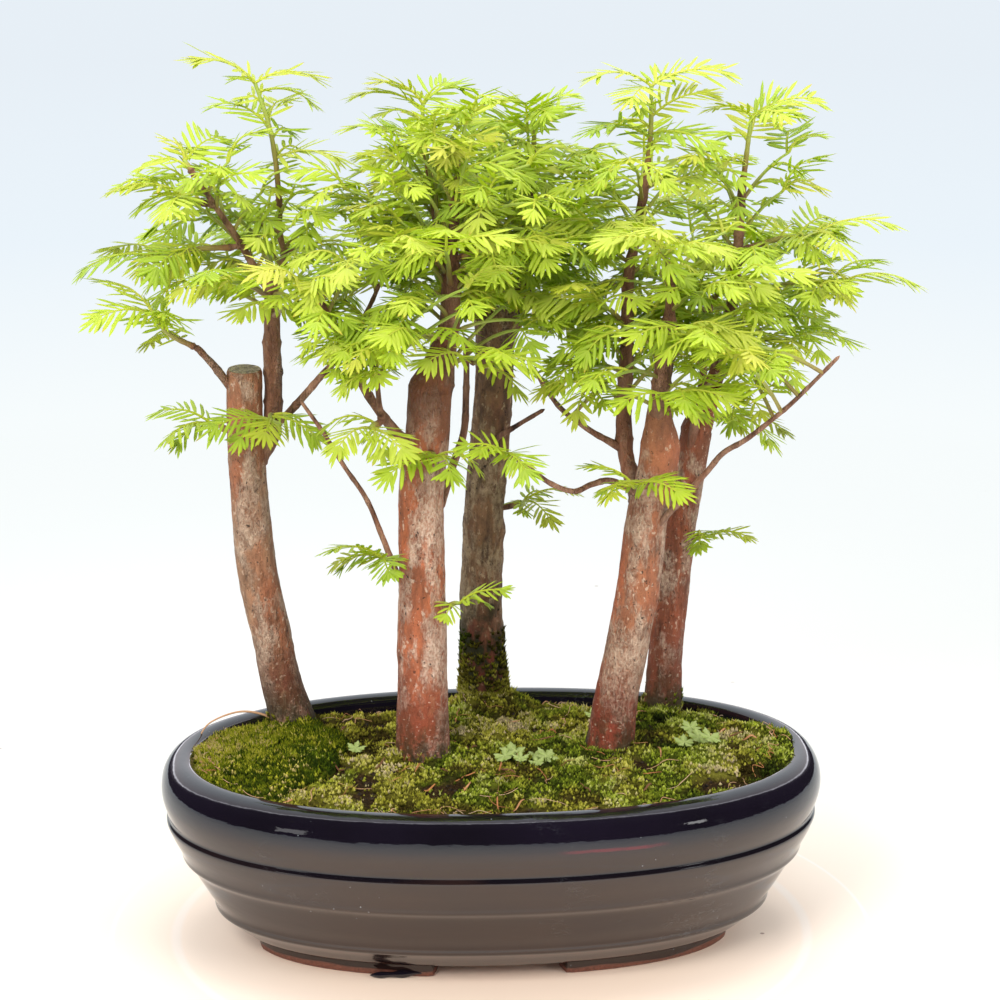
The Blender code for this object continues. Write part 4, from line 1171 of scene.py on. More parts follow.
@dataclass(frozen=True)
class Moss:
    """Short moss: near-black at its foot, partly its darker old stems and partly painted shade, deep green to
    lime and gold at its tips.

    Attributes:
        tones: Colours from old to dry moss.
        lush: Colours of the greener, wetter patches.
        ground: Colours of the earth between.
    """

    name: str = "moss"
    dark: Colour = (0.008, 0.007, 0.002)
    tones: tuple = ((0.0, (0.055, 0.038, 0.008)), (0.30, (0.18, 0.15, 0.020)), (0.58, (0.45, 0.42, 0.040)),
                    (0.84, (0.68, 0.61, 0.11)), (1.0, (0.74, 0.57, 0.32)))
    lush: tuple = ((0.0, (0.025, 0.050, 0.005)), (0.35, (0.10, 0.17, 0.010)), (0.70, (0.34, 0.45, 0.025)),
                   (1.0, (0.62, 0.68, 0.13)))
    ground: tuple = ((0.3, (0.012, 0.007, 0.003)), (0.6, (0.046, 0.026, 0.010)), (0.8, (0.16, 0.092, 0.045)))

    def build(self) -> Material:
        """Colours the moss by its tint: height on the tuft, freshness and earth. A low height gives the dark
        colour: painted shade at the tufts' feet, on the ground and under the buds, partly also darker old
        stems; the buds' tops are painted light.

        Returns:
            The material.
        """
        made = Finish(self.name)
        height, fresh, earth = made.tint()
        mottle = made.noise(1300.0, 3.0)
        fresh = fresh + (mottle - 0.5) * 0.30
        x, _, _ = made.axes()
        wet = (made.noise(34.0, 4.0) + x * 1.3).step(0.49, 0.58)
        green = made.coats(made.ramp(fresh, *self.tones), (wet * 0.75, made.ramp(fresh, *self.lush)))
        colour = made.coats(self.dark, (height, green), (earth, made.ramp(mottle, *self.ground)))
        grain = made.bump(made.noise(2400.0, 4.0), 0.0006, 0.9)
        return made.surface(Base_Color=colour, Roughness=0.9, Normal=grain, IOR=1.2)


@dataclass(frozen=True)
class Earth:
    """Dark crumbly soil with pale grit."""

    dark: Colour = (0.010, 0.007, 0.005)
    brown: Colour = (0.055, 0.034, 0.020)
    grit: Colour = (0.20, 0.15, 0.10)

    def build(self) -> Material:
        """Colours the soil by crumbs and grit.

        Returns:
            The material.
        """
        made = Finish("earth")
        colour = made.ramp(made.noise(700.0, 5.0), (0.35, self.dark), (0.62, self.brown), (0.78, self.grit))
        grain = made.bump(made.cells(650.0), 0.0012, 0.9)
        return made.surface(Base_Color=colour, Roughness=0.95, Normal=grain)


@dataclass(frozen=True)
class Net:
    """Black plastic net, dusty with clay."""

    black: Colour = (0.012, 0.012, 0.013)
    dust: Colour = (0.10, 0.075, 0.055)

    def build(self) -> Material:
        """Colours the net with dust in its corners.

        Returns:
            The material.
        """
        made = Finish("drain_net")
        dusty = made.noise(500.0, 4.0).step(0.5, 0.75)
        colour = made.coats(self.black, (dusty * 0.6, self.dust))
        grain = made.bump(made.noise(1500.0, 2.0), 0.0002, 0.5)
        return made.surface(Base_Color=colour, Roughness=0.4 + dusty * 0.4, Normal=grain)


@dataclass(frozen=True)
class Litter:
    """Fallen twigs, needles and rootlets, from pale straw to dark brown by their tint."""

    straw: Colour = (0.60, 0.42, 0.27)
    orange: Colour = (0.44, 0.17, 0.055)
    brown: Colour = (0.07, 0.035, 0.02)

    def build(self) -> Material:
        """Colours each bit of litter by its tint.

        Returns:
            The material.
        """
        made = Finish("litter")
        kind, _, _ = made.tint()
        fibre = made.noise(1500.0, 3.0)
        tones = (0.0, self.brown), (0.5, self.orange), (1.0, self.straw)
        colour = made.ramp(kind + (fibre - 0.5) * 0.2, *tones)
        return made.surface(Base_Color=colour, Roughness=0.75, Normal=made.bump(fibre, 0.0002, 0.6))


@dataclass(frozen=True)
class Seedling:
    """Small grey-green leaves of weeds among the moss."""

    green: Colour = (0.19, 0.25, 0.050)
    pale: Colour = (0.34, 0.39, 0.14)

    def build(self) -> Material:
        """Colours a leaf by its tint: the first value is the distance from its vein.

        Returns:
            The material.
        """
        made = Finish("seedling_leaf")
        vein, _, _ = made.tint()
        mottle = made.noise(1500.0, 3.0)
        colour = made.coats(self.pale, (vein * 0.7 + mottle * 0.3, self.green))
        return made.surface(Base_Color=colour, Roughness=0.8, Normal=made.bump(mottle, 0.0005, 0.6), IOR=1.25)


@dataclass
class Tray:
    """The oval bowl with its rolled lip, its groove, two ridges, four feet and drain holes.

    Attributes:
        roundness: Exponent of the oval.
        profile: Inset and height of points round the wall, from the underside to the inside floor.
        sway: How much the lip rises towards the front.
        groove: Height, width and depth of the step into the groove, and how fast it fills again upwards.
        ridges: Height, width and rise of each ridge.
        around: Columns of the grid round the oval.
        along: Rows of the grid over the wall.
        foot_outline: Inset and height of points round a foot.
        foot_gaps: Half the gap between the feet at the front and at the ends.
    """

    length: float = 210.0
    depth: float = 136.0
    roundness: float = 2.2
    profile: tuple = (
        (26.6, 5.0), (25.2, 5.3), (23.2, 6.9), (20.5, 9.3), (18.6, 10.9), (17.5, 12.1), (16.9, 13.3),
        (16.3, 14.8), (13.0, 20.4), (9.7, 26.2), (8.3, 28.5), (7.5, 29.8), (6.8, 31.0), (5.4, 33.2),
        (3.1, 38.2), (1.5, 42.4), (0.6, 46.4), (0.1, 49.6), (0.15, 52.6), (0.9, 55.8), (2.5, 58.6),
        (4.8, 60.6), (7.3, 61.4), (9.5, 60.9), (11.0, 59.2), (11.7, 56.4), (12.0, 52.4), (12.2, 48.0),
        (12.7, 42.0), (14.2, 34.0), (20.0, 22.0), (26.8, 11.8), (30.5, 10.1),
    )
    sway: float = 0.014
    groove: tuple = (42.4, 0.42, 1.75, 6.5)
    ridges: tuple = ((30.0, 1.5, 0.85), (12.6, 1.2, 0.6))
    around: int = 224
    along: int = 136
    drain_radius: float = 8.0
    drain_spacing: float = 80.0
    drain_reach: float = 16.0
    foot_outline: tuple = ((28.9, 0.15), (28.6, 0.8), (28.1, 3.0), (27.3, 7.2), (36.2, 7.2), (36.4, 0.9),
                           (35.9, 0.15), (35.2, 0.0), (29.6, 0.0))
    foot_gaps: tuple = (21.0, 11.0)

    def oval(self, inset: Array, height: Array, angle: Array) -> Array:
        """Points of the superellipse |x/a|^n + |y/b|^n = 1 pulled in by an inset.

        Args:
            inset: Insets, one for each row.
            height: Heights, one for each row.
            angle: Angles, one for each column.

        Returns:
            Rows, columns and coordinates.
        """
        power = 2.0 / self.roundness
        cosine, sine = np.cos(angle), np.sin(angle)
        x = (self.length / 2 - inset[:, None]) * np.sign(cosine) * np.abs(cosine) ** power
        y = (self.depth / 2 - inset[:, None]) * np.sign(sine) * np.abs(sine) ** power
        return np.stack([x, y, np.broadcast_to(height[:, None], x.shape)], axis=-1)

    def even_angles(self, count: int) -> Array:
        """Angles whose points lie evenly along the rim.

        Args:
            count: How many.

        Returns:
            The angles.
        """
        dense = np.linspace(0.0, TURN, 4001)
        reach = way_along(self.oval(np.zeros(1), np.zeros(1), dense)[0])
        return np.interp(np.linspace(0.0, reach[-1], count, endpoint=False), reach, dense)

    def wall(self) -> tuple[Array, Array]:
        """Insets and heights down the smooth profile, less the groove and plus the ridges.

        The groove is the step 1 / (1 + exp((z0 - z)/w)) that fades upwards; a ridge is the bell
        exp(-((z - z0)/w)^2). Both are on the outer side, where the rows lie closer together.

        Returns:
            The insets and the heights.
        """
        curve = smooth_route([(inset, height, 0.0) for inset, height in self.profile], 900, 16)
        inset, height = curve[:, 0], curve[:, 1]
        outer = (np.arange(900) < int(np.argmax(height))).astype(float)
        level, width, deep, fade = self.groove
        step = 1.0 / (1.0 + np.exp(np.clip((level - height) / width, -30, 30)))
        inset = inset + outer * deep * step * np.exp(-np.clip(height - level, 0, None) / fade)
        for level, width, rise in self.ridges:
            inset = inset - outer * rise * np.exp(-((height - level) / width) ** 2)
            above = height - level - 2.6 * width
            inset = inset + outer * 0.25 * rise * np.exp(-(above / (1.6 * width)) ** 2)
        levels = [self.groove[0]] + [ridge[0] for ridge in self.ridges]
        close = 1.0 + sum(5.0 * outer * np.exp(-((height - level) / 2.2) ** 2) for level in levels)
        crowd = np.concatenate([[0.0], np.cumsum(close[1:])])
        rows = np.linspace(0.0, crowd[-1], self.along)
        return np.interp(rows, crowd, inset), np.interp(rows, crowd, height)

    def bowl(self, skin: Skin) -> None:
        """Adds the bowl: wall rows between a flat underside and a flat floor, with slight throwing waves.

        Args:
            skin: Where it is added.
        """
        inset, height = self.wall()
        angle = self.even_angles(self.around)
        inset = np.concatenate([[60.0, 44.0, 32.0], inset, [36.0, 46.0, 60.0]])
        height = np.concatenate([np.full(3, height[0]), height, np.full(3, 10.0)])
        rings = self.oval(inset, height, angle)
        wave = 0.12 * np.sin(3 * angle + 0.8)[None] * np.sin(height / 9.0)[:, None]
        wave = wave * np.clip((height - 6.0) / 10.0, 0.0, 1.0)[:, None]
        rings[..., :2] *= (1.0 + wave / 100.0)[..., None]
        rings[..., 2] -= self.sway * rings[..., 1] * np.clip((rings[..., 2] - 46.0) / 12.0, 0.0, 1.0)
        skin.rings(rings, (0.0, 0.0, 0.0))

    def feet(self, skin: Skin) -> None:
        """Adds the four feet: a rounded section carried round the oval between the gaps.

        Args:
            skin: Where they are added.
        """
        inset, height = np.array(self.foot_outline).T
        half_length, half_depth = self.length / 2 - 28.6, self.depth / 2 - 28.6
        near_end = math.asin((self.foot_gaps[1] / half_depth) ** (self.roundness / 2))
        near_front = math.acos((self.foot_gaps[0] / half_length) ** (self.roundness / 2))
        pinch = np.ones((40, 1, 1))
        pinch[[0, -1]] = 0.93
        for turn, mirror in ((0.0, 1), (math.pi, -1), (math.pi, 1), (0.0, -1)):
            angle = turn + mirror * np.linspace(near_end, near_front, 40)
            section = self.oval(inset, height, angle).transpose(1, 0, 2)
            middle = section.mean(axis=1, keepdims=True)
            section = middle + (section - middle) * pinch
            skin.rings(section[:, ::-1] if mirror > 0 else section, (0.0, 1.0, 0.0))

    def drip(self, skin: Skin) -> None:
        """Adds the run of glaze that stands at the left front foot: a low long drop.

        Args:
            skin: Where it is added.
        """
        t = np.linspace(-1.0, 1.0, 24)
        course = np.stack([-32.0 + 8.6 * t, -37.9 + 0.35 * t ** 2 + 0.06 * t, 1.25 + 0.25 * t], axis=1)
        radii = 1.1 * np.sqrt(np.clip(1.0 - t ** 2, 0.01, 1.0)) * (1.0 + 0.25 * np.sin(7 * t))
        skin.tube(course, radii, 14, (0.0, 0.0, 1.0))

    def drill(self, built: bpy.types.Object) -> None:
        """Cuts the two drain holes and applies the cuts.

        Args:
            built: The bowl.
        """
        angle = angles(64)
        circle = self.drain_radius * np.stack([np.cos(angle), np.sin(angle), np.zeros(64)], axis=-1)
        for side in (-0.5, 0.5):
            low = circle + np.array([side * self.drain_spacing, 0.0, 0.0])
            points, faces = closed_rings(np.stack([low, low + self.drain_reach * UP]))
            mesh = bpy.data.meshes.new("drill")
            listed = [face for block in faces for face in block.tolist()]
            mesh.from_pydata((points * MM + TRAY_MIDDLE).tolist(), [], listed)
            cutter = add_object("drill", mesh)
            cut = built.modifiers.new("drain", "BOOLEAN")
            cut.operation = "DIFFERENCE"
            cut.object = cutter
            graph = bpy.context.evaluated_depsgraph_get()
            result = bpy.data.meshes.new_from_object(built.evaluated_get(graph))
            built.modifiers.clear()
            built.data = result
            bpy.data.objects.remove(cutter, do_unlink=True)

    def build(self) -> None:
        """Makes the tray and dresses the drain nets and the soil."""
        glaze = Glaze().build()
        bowl, feet = Skin(), Skin()
        self.bowl(bowl)
        self.drill(bowl.build("glazed_tray", glaze, Slot.GLAZE, ["tray"], 50.0))
        self.feet(feet)
        self.drip(feet)
        feet.build("tray_feet", glaze, Slot.GLAZE, (), 50.0)
        net, earth = Net().build(), Earth().build()
        for name, material in (("drain_screen_left", net), ("drain_screen_right", net), ("soil", earth)):
            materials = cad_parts[name].data.materials
            materials.clear()
            materials.append(material)


Cover: TypeAlias = tuple[Material, Slot]


def repeated(faces: Array, count: int, stride: int) -> Array:
    """The faces of one shape for many that follow each other, each with its stride of points."""
    return (faces[None] + (np.arange(count) * stride)[:, None, None]).reshape(-1, faces.shape[1])


@dataclass
class Bed:
    """The moss over the soil, the bright mound at the left, and what lies on them.

    Attributes:
        inset: How far the moss keeps from the rim at the ends and at the front and back.
        edge: Height of the moss at the rim, which falls towards the back.
        heaps: Place, rise and breadth of each heap, most of them at the trunks.
        bright: Place, gain and breadth of each bright patch.
        mound: Centre and radii of the bright mound.
        rise: Height of the mound over the moss.
        climb: For each tree, how many tufts climb its foot, and how high.
        tuft_counts: How many tufts are tried on the carpet and on the mound.
        bud_counts: The same for the buds.
        margin: Share of the way to the rim up to which they lie.
    """

    tray: Tray
    growth: Growth
    inset: tuple = (8.3, 11.5)
    edge: float = 56.2
    fall: float = 0.022
    crown: float = 62.2
    soil_depth: float = 3.2
    heaps: tuple = ((0.0, 46.0, 8.5, 130.0), (50.0, 16.0, 2.2, 260.0), (-22.0, -6.0, 1.6, 150.0),
                    (36.0, -4.0, 2.4, 150.0), (57.0, 36.0, 3.0, 110.0), (-61.0, 27.0, 2.0, 130.0),
                    (88.0, 6.0, 4.6, 520.0), (-8.0, 24.0, 1.8, 200.0))
    bright: tuple = ((70.0, -2.0, 0.22, 620.0), (22.0, -10.0, 0.16, 300.0), (2.0, 30.0, 0.16, 260.0),
                     (-14.0, -34.0, 0.12, 300.0), (50.0, -38.0, 0.18, 300.0))
    mound: tuple = ((-72.0, 1.0), (25.0, 34.0))
    rise: float = 4.4
    cushions: int = 380
    bare_share: float = 0.17
    foot: float = 61.0
    climb: tuple = ((90, 2.0), (70, 1.6), (1500, 10.0), (90, 2.0), (110, 2.6))
    weeds: tuple = ((3.0, -15.0), (8.0, -17.5), (6.0, -10.5), (12.5, -11.5), (13.0, -18.0), (16.5, -14.0),
                    (61.0, -3.0), (66.0, -0.5), (69.0, -5.0), (-43.0, -3.0), (34.0, 22.0), (64.0, 6.0))
    tuft_counts: tuple = (7600, 5200)
    bud_counts: tuple = (17000, 2600)
    crumb_count: int = 4200
    twig_count: int = 150
    rootlet_count: int = 70
    margin: float = 0.985
    seed: int = 41
    noise: Noise = field(default_factory=lambda: Noise(7))

    def __post_init__(self) -> None:
        """Draws the cushions: their centres, thickness, tone and whether the earth is bare there."""
        draw = np.random.default_rng(self.seed + 1)
        self.half = np.array([self.tray.length / 2 - self.inset[0], self.tray.depth / 2 - self.inset[1]])
        self.centres = draw.uniform(-1, 1, (self.cushions, 2)) * self.half
        x, y = self.centres.T
        near_rim = np.clip((self.spread(x, y) - 0.55) / 0.4, 0.0, 1.0)
        chance = bells(0.4 + 1.2 * near_rim, x, y, ((-40.0, 33.0, 1.3, 300.0), (-38.0, -22.0, 0.8, 200.0)))
        self.is_bare = (draw.random(self.cushions) < self.bare_share * chance).astype(float)
        self.thick = draw.uniform(0.7, 3.6, self.cushions) * (1.0 - self.is_bare)
        self.tone = self.fresh(x, y) + draw.normal(0.0, 0.20, self.cushions)

    def spread(self, x: Array, y: Array) -> Array:
        """How near a point is to the rim: |x/a|^n + |y/b|^n."""
        power = self.tray.roundness
        return np.clip(np.abs(x / self.half[0]) ** power + np.abs(y / self.half[1]) ** power, 0, 1)

    def level(self, x: Array, y: Array) -> Array:
        """Height of the moss without its relief: low at the rim, crowned, with heaps."""
        edge = self.edge - self.fall * y
        return bells(edge + (self.crown - edge) * (1.0 - self.spread(x, y)) ** 0.7, x, y, self.heaps)

    def cushion_at(self, x: Array, y: Array) -> tuple[Array, Array]:
        """The small cushions that the moss grows in.

        A point belongs to the nearest of the drawn centres, and its cushion's height there is the
        root of how much nearer that centre is than the next one. Noise bends their edges.

        Args:
            x: Places along the tray.
            y: Places across it.

        Returns:
            The number of the cushion and its height from 0 to 1.
        """
        bent_x = x + 1.5 * self.noise.at(x / 3.1 + 9, y / 3.1 + 40)
        bent_y = y + 1.5 * self.noise.at(x / 3.1 + 70, y / 3.1 + 5)
        away = np.hypot(bent_x.reshape(-1, 1) - self.centres[:, 0],
                        bent_y.reshape(-1, 1) - self.centres[:, 1])
        two = np.partition(away, 1, axis=1)[:, :2]
        dome = np.sqrt(np.clip((two[:, 1] - two[:, 0]) / 4.2, 0.0, 1.0))
        return np.argmin(away, axis=1).reshape(x.shape), dome.reshape(x.shape)

    def relief(self, x: Array, y: Array) -> Array:
        """Height of the cushions over the ground, with fine lumps of noise.

        Args:
            x: Places along the tray.
            y: Places across it.

        Returns:
            The heights.
        """
        number, dome = self.cushion_at(x, y)
        lumps = 0.5 * self.noise.at(x / 9.0 + 20, y / 9.0 + 20)
        lumps = lumps + 0.35 * self.noise.at(x / 1.9 + 3, y / 1.9 + 70)
        return self.thick[number] * dome - 1.1 + lumps

    def bare(self, x: Array, y: Array) -> Array:
        """Where the earth shows: in the bare cushions and in the clefts between the others."""
        number, dome = self.cushion_at(x, y)
        return np.maximum(self.is_bare[number], np.clip(1.0 - dome / 0.42, 0.0, 1.0))

    def fresh(self, x: Array, y: Array) -> Array:
        """How bright the moss is, from broad noise and chosen bright patches.

        Args:
            x: Places along the tray.
            y: Places across it.

        Returns:
            Values from 0 to 1.
        """
        value = 0.44 + 0.26 * self.noise.at(x / 17.0 + 80, y / 17.0 + 33)
        value = value + 0.1 * self.noise.at(x / 5.0, y / 5.0 + 60)
        return np.clip(bells(value, x, y, self.bright), 0.0, 1.0)

    @staticmethod
    def ragged(angle: Array) -> Array:
        """The mound's uneven outline: its reach by the bearing."""
        return 1.0 + 0.06 * np.sin(3 * angle + 0.6) + 0.05 * np.sin(7 * angle) + 0.03 * np.sin(13 * angle + 1)

    def mound_share(self, x: Array, y: Array) -> Array:
        """1 - squared distance from the mound's centre in its radii, with a ragged edge.

        Args:
            x: Places along the tray.
            y: Places across it.

        Returns:
            Shares, above 0 on the mound.
        """
        (cx, cy), (rx, ry) = self.mound
        edge = self.ragged(np.arctan2(y - cy, x - cx))
        return 1.0 - (((x - cx) / rx) ** 2 + ((y - cy) / ry) ** 2) / edge ** 2

    def mound_top(self, x: Array, y: Array) -> Array:
        """Surface of the mound over the moss around it."""
        share = np.clip(self.mound_share(x, y), 0.0, 1.0)
        return self.level(x, y) + self.rise * share ** 0.5 + (0.3 + 0.4 * share) * self.relief(x, y)

    def surface(self, x: Array, y: Array) -> Array:
        """Top of whatever grows at a point."""
        plain = self.level(x, y) + self.relief(x, y)
        return np.where(self.mound_share(x, y) > 0, self.mound_top(x, y), plain)

    def ground(self, name: str, plan: Array, mound: bool, cover: Cover, replaced: str) -> None:
        """Builds a ground of moss: rings that shrink to a middle, with a skirt and an underside.

        Args:
            name: The piece's name.
            plan: Plan of the rings, from the edge to the middle.
            mound: Whether it is the bright mound.
            cover: Its material and slot.
            replaced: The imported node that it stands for.
        """
        x, y = plan[..., 0], plan[..., 1]
        rim = self.level(x[0], y[0])
        top = (self.mound_top(x, y) if mound else self.level(x, y) + self.relief(x, y)) - 0.5
        low = rim - (1.6 if mound else self.soil_depth)
        top[0] = np.minimum(top[0] - 0.6, rim - 0.2)
        centre = plan[-1].mean(axis=0)
        under = [np.column_stack([edge, low])[None] for edge in (centre + 0.4 * (plan[0] - centre), plan[0])]
        rings = np.concatenate([*under, np.concatenate([plan, top[..., None]], axis=-1)])
        number, _ = self.cushion_at(x, y)
        tone = np.clip(self.tone[number] * 0.8, 0.0, 1.0)
        earth = 0.2 * self.bare(x, y) if mound else np.clip(self.bare(x, y) + 0.15, 0.0, 1.0)
        # The ground takes a low height tint, so it is dark between the tufts: partly old moss, partly painted
        # shade.
        tint = np.stack([np.full(tone.shape, 0.30), tone, earth], axis=-1).reshape(-1, 3)
        skirt = np.broadcast_to(np.array([0.3, 0.2, 1.0]), (2 * plan.shape[1], 3))
        skin = Skin()
        skin.rings(rings, np.vstack([skirt, tint]))
        skin.build(name, *cover, [replaced])

    def grounds(self, moss: Cover, cushion: Cover) -> None:
        """Builds the ground of the carpet and of the mound on rings that shrink to their middles.

        Args:
            moss: Material and slot of the carpet.
            cushion: Material and slot of the mound.
        """
        angle = self.tray.even_angles(220)
        share = np.sin(np.linspace(0.02, 0.5 * np.pi, 78))[::-1]
        way = np.stack([np.cos(angle), np.sin(angle)], axis=-1)
        power = self.tray.roundness
        edge = self.half * np.sign(way) * np.abs(way) ** (2.0 / power)
        self.ground("moss_ground", edge[None] * share[:, None, None], False, moss, "moss_carpet")
        centre, radii = np.array(self.mound)
        angle = angles(110)
        share = np.sin(np.linspace(0.02, 0.5 * np.pi, 40))[::-1][:, None, None]
        outline = radii * np.stack([np.cos(angle), np.sin(angle)], axis=-1) * self.ragged(angle)[:, None]
        plan = outline * share + centre
        past = (np.abs(plan / self.half) ** power).sum(axis=-1, keepdims=True)
        plan = plan / np.maximum(past, 1.0) ** (1.0 / power)
        self.ground("mound_ground", plan, True, cushion, "moss_cushion")

    def scatter(self, draw: Draw, count: int, inside_mound: bool, margin: float) -> Array:
        """Draws plan points over the moss or over the mound.

        Args:
            draw: The random generator.
            count: How many points to try.
            inside_mound: Whether the mound or the rest is wanted.
            margin: How near the rim they may be.

        Returns:
            The places along and across the tray of those that are kept.
        """
        if inside_mound:
            (cx, cy), (rx, ry) = self.mound
            x, y = cx + rx * 1.15 * draw.uniform(-1, 1, count), cy + ry * 1.15 * draw.uniform(-1, 1, count)
            keep = (self.mound_share(x, y) > 0.0) & (self.spread(x, y) < margin)
        else:
            x, y = draw.uniform(-1, 1, (2, count)) * self.half[:, None]
            keep = (self.spread(x, y) < margin) & (self.mound_share(x, y) < 0.04)
        return np.stack([x[keep], y[keep]])

    def tufts(self, name: str, spots: Array, size: Array, form: tuple[float, float], tone: Array,
              cover: Cover) -> None:
        """Builds one piece of many tufts, stars of three-sided leaves that lean out by a drawn bearing.

        Args:
            name: The piece's name.
            spots: Where they stand.
            size: Their heights.
            form: The lean of a leaf and half the width of its foot, as shares of its height.
            tone: Their colours; a leaf is dark at its foot and light at its tip, partly its darker old stem
                and partly painted shade at the foot.
            cover: Their material and slot.
        """
        draw = np.random.default_rng(self.seed + len(spots))
        count, spikes = len(spots), 5
        tilt, slim = form
        bearing = angles(spikes)[None] + draw.uniform(0, 6.28, (count, 1))
        lean = tilt * draw.uniform(0.3, 1.3, (count, spikes))
        height = size[:, None] * draw.uniform(0.7, 1.2, (count, spikes))
        out = np.stack([np.cos(bearing), np.sin(bearing), np.zeros_like(bearing)], axis=-1)
        tip = spots[:, None] + out * (lean * height)[..., None] + UP * height[..., None]
        foot = spots[:, None] + out * (0.22 * height)[..., None] - UP * 0.5
        width = (slim * height + 0.12)[..., None]
        side = np.stack([-out[..., 1], out[..., 0], out[..., 2]], axis=-1)
        corners = np.stack([foot + side * width, foot - side * width, foot - out * width * 1.3, tip], axis=2)
        shape = corners.shape[:3]
        own = draw.normal(0.0, 0.14, (count, 1, 1)) + draw.uniform(-0.08, 0.08, shape[:2])[..., None]
        tone = np.clip(np.broadcast_to(tone[:, None, None], shape) + own, 0, 1)
        # Height tint: dark at each leaf's foot, pale at its tip: partly darker old stems, partly painted
        # shade at the foot.
        light = np.broadcast_to(np.array([0.10, 0.10, 0.10, 1.0]), shape)
        skin = Skin()
        faces = np.array([(0, 1, 3), (1, 2, 3), (2, 0, 3), (0, 2, 1)])
        tint = np.stack([light, tone, np.zeros(shape)], axis=-1)
        skin.add(corners, [repeated(faces, count * spikes, 4)], tint)
        skin.build(name, *cover, (), 180.0)

    def plants(self, moss: Cover, cushion: Cover) -> None:
        """Grows the tufts of the carpet and of the mound, and those that climb the trunks' feet.

        Args:
            moss: Material and slot of the carpet.
            cushion: Material and slot of the mound.
        """
        draw = np.random.default_rng(self.seed)
        x, y = self.scatter(draw, self.tuft_counts[0], False, self.margin)
        keep = draw.random(len(x)) > 0.93 * self.bare(x, y)
        x, y = x[keep], y[keep]
        number, dome = self.cushion_at(x, y)
        # Paler on the cushions' tops and darker in the clefts between them: painted light and painted shade.
        tone = self.tone[number] + 0.34 * (dome - 0.6)
        size = draw.uniform(0.75, 1.45, len(x)) * (0.7 + 0.3 * self.thick[number] / 1.8)
        spots = np.stack([x, y, self.level(x, y) + self.relief(x, y) - 0.5], axis=1)
        climbing, climb_tone = self.climbers(draw)
        spots = np.concatenate([spots, climbing])
        size = np.concatenate([size, draw.uniform(0.7, 1.3, len(climbing))])
        self.tufts("moss_tufts", spots, size, (1.05, 0.30), np.concatenate([tone, climb_tone]), moss)
        x, y = self.scatter(draw, self.tuft_counts[1], True, 0.99)
        spots = np.stack([x, y, self.mound_top(x, y) - 0.5], axis=1)
        shade = (x + 72.0) * 0.013 + 0.34 * np.clip((4.0 - y) / 22.0, 0, 1)
        shade = shade + 0.16 * self.noise.at(x / 5.0, y / 5.0)
        size = draw.uniform(1.0, 2.0, len(x)) * (1.0 - 0.25 * np.clip((2.0 - y) / 22.0, 0, 1))
        tone = np.clip(0.56 - shade + draw.normal(0.0, 0.19, len(x)), 0, 0.95)
        self.tufts("mound_tufts", spots, size, (0.75, 0.29), tone, cushion)

    def climbers(self, draw: Draw) -> tuple[Array, Array]:
        """Places and tones of the tufts that climb the feet of the trunks, thinner with height.

        Args:
            draw: The random generator.

        Returns:
            The places and the tones.
        """
        spots, tones = [], []
        for tree, (count, climb) in enumerate(self.climb):
            height = self.foot + draw.exponential(climb, count)
            height = height[height < self.foot + 2.6 * climb]
            count = len(height)
            bearing = draw.uniform(0, TURN, count)
            if NAMES[tree] == "back":
                bearing = np.pi * (1 + (draw.random(count) < 0.35)) + draw.normal(0.0, 0.8, count)
            course, radii = self.growth.limb_course(TREES[tree][0])
            centre = np.stack([np.interp(height, course[:, 2], course[:, k]) for k in range(2)], axis=1)
            reach = np.interp(height, course[:, 2], radii)[:, None]
            plan = centre + reach * np.stack([np.cos(bearing), np.sin(bearing)], axis=1)
            spots.append(np.column_stack([plan, np.maximum(height, self.level(*plan.T))]))
            tone = 0.66 - (height - self.foot) / 40.0 + draw.normal(0.0, 0.18, count)
            tones.append(np.clip(tone, 0.0, 1.0))
        return np.concatenate(spots), np.concatenate(tones)

    @staticmethod
    def pebbles(centre: Array, size: Array, shape: tuple, draw: Draw) -> tuple[Array, list[Array]]:
        """Uneven eight-sided grains.

        Args:
            centre: Their middles.
            size: Their radii.
            shape: Stretch along each axis.
            draw: The random generator.

        Returns:
            Points as grains, corners and coordinates, and the faces.
        """
        corner = np.array([(1, 0, 0), (0, 1, 0), (-1, 0, 0), (0, -1, 0), (0, 0, 1), (0, 0, -1)], float)
        jitter = draw.uniform(0.65, 1.3, (len(size), 6, 1))
        points = centre[:, None] + corner[None] * jitter * size[:, None, None] * np.array(shape)
        faces = np.array([(0, 1, 4), (1, 2, 4), (2, 3, 4), (3, 0, 4),
                          (1, 0, 5), (2, 1, 5), (3, 2, 5), (0, 3, 5)])
        return points, [repeated(faces, len(size), 6)]

    def buds(self, moss: Cover, cushion: Cover) -> None:
        """Fills in between the tufts with round buds of moss, with painted light on top and painted shade
        below.

        Args:
            moss: Material and slot of the carpet.
            cushion: Material and slot of the mound.
        """
        draw = np.random.default_rng(self.seed + 3)
        lots = ("moss_buds", False, moss), ("mound_buds", True, cushion)
        for (name, mound, cover), count in zip(lots, self.bud_counts):
            x, y = self.scatter(draw, count, mound, self.margin)
            keep = draw.random(len(x)) > 0.9 * self.bare(x, y)
            keep &= draw.random(len(x)) < (np.clip((8.0 - y) / 22.0, 0.15, 1.0) if mound else 1.0)
            x, y = x[keep], y[keep]
            number, dome = self.cushion_at(x, y)
            # Paler on the cushions' tops and darker in the clefts between them: painted light and painted
            # shade.
            tone = self.tone[number] + 0.36 * (dome - 0.55) + draw.normal(0.06, 0.16, len(x))
            size = draw.uniform(0.30, 0.72, len(x))
            centre = np.stack([x, y, self.surface(x, y) - 0.25 + 0.3 * size], axis=1)
            points, faces = self.pebbles(centre, size, (0.85, 0.85, 1.35), draw)
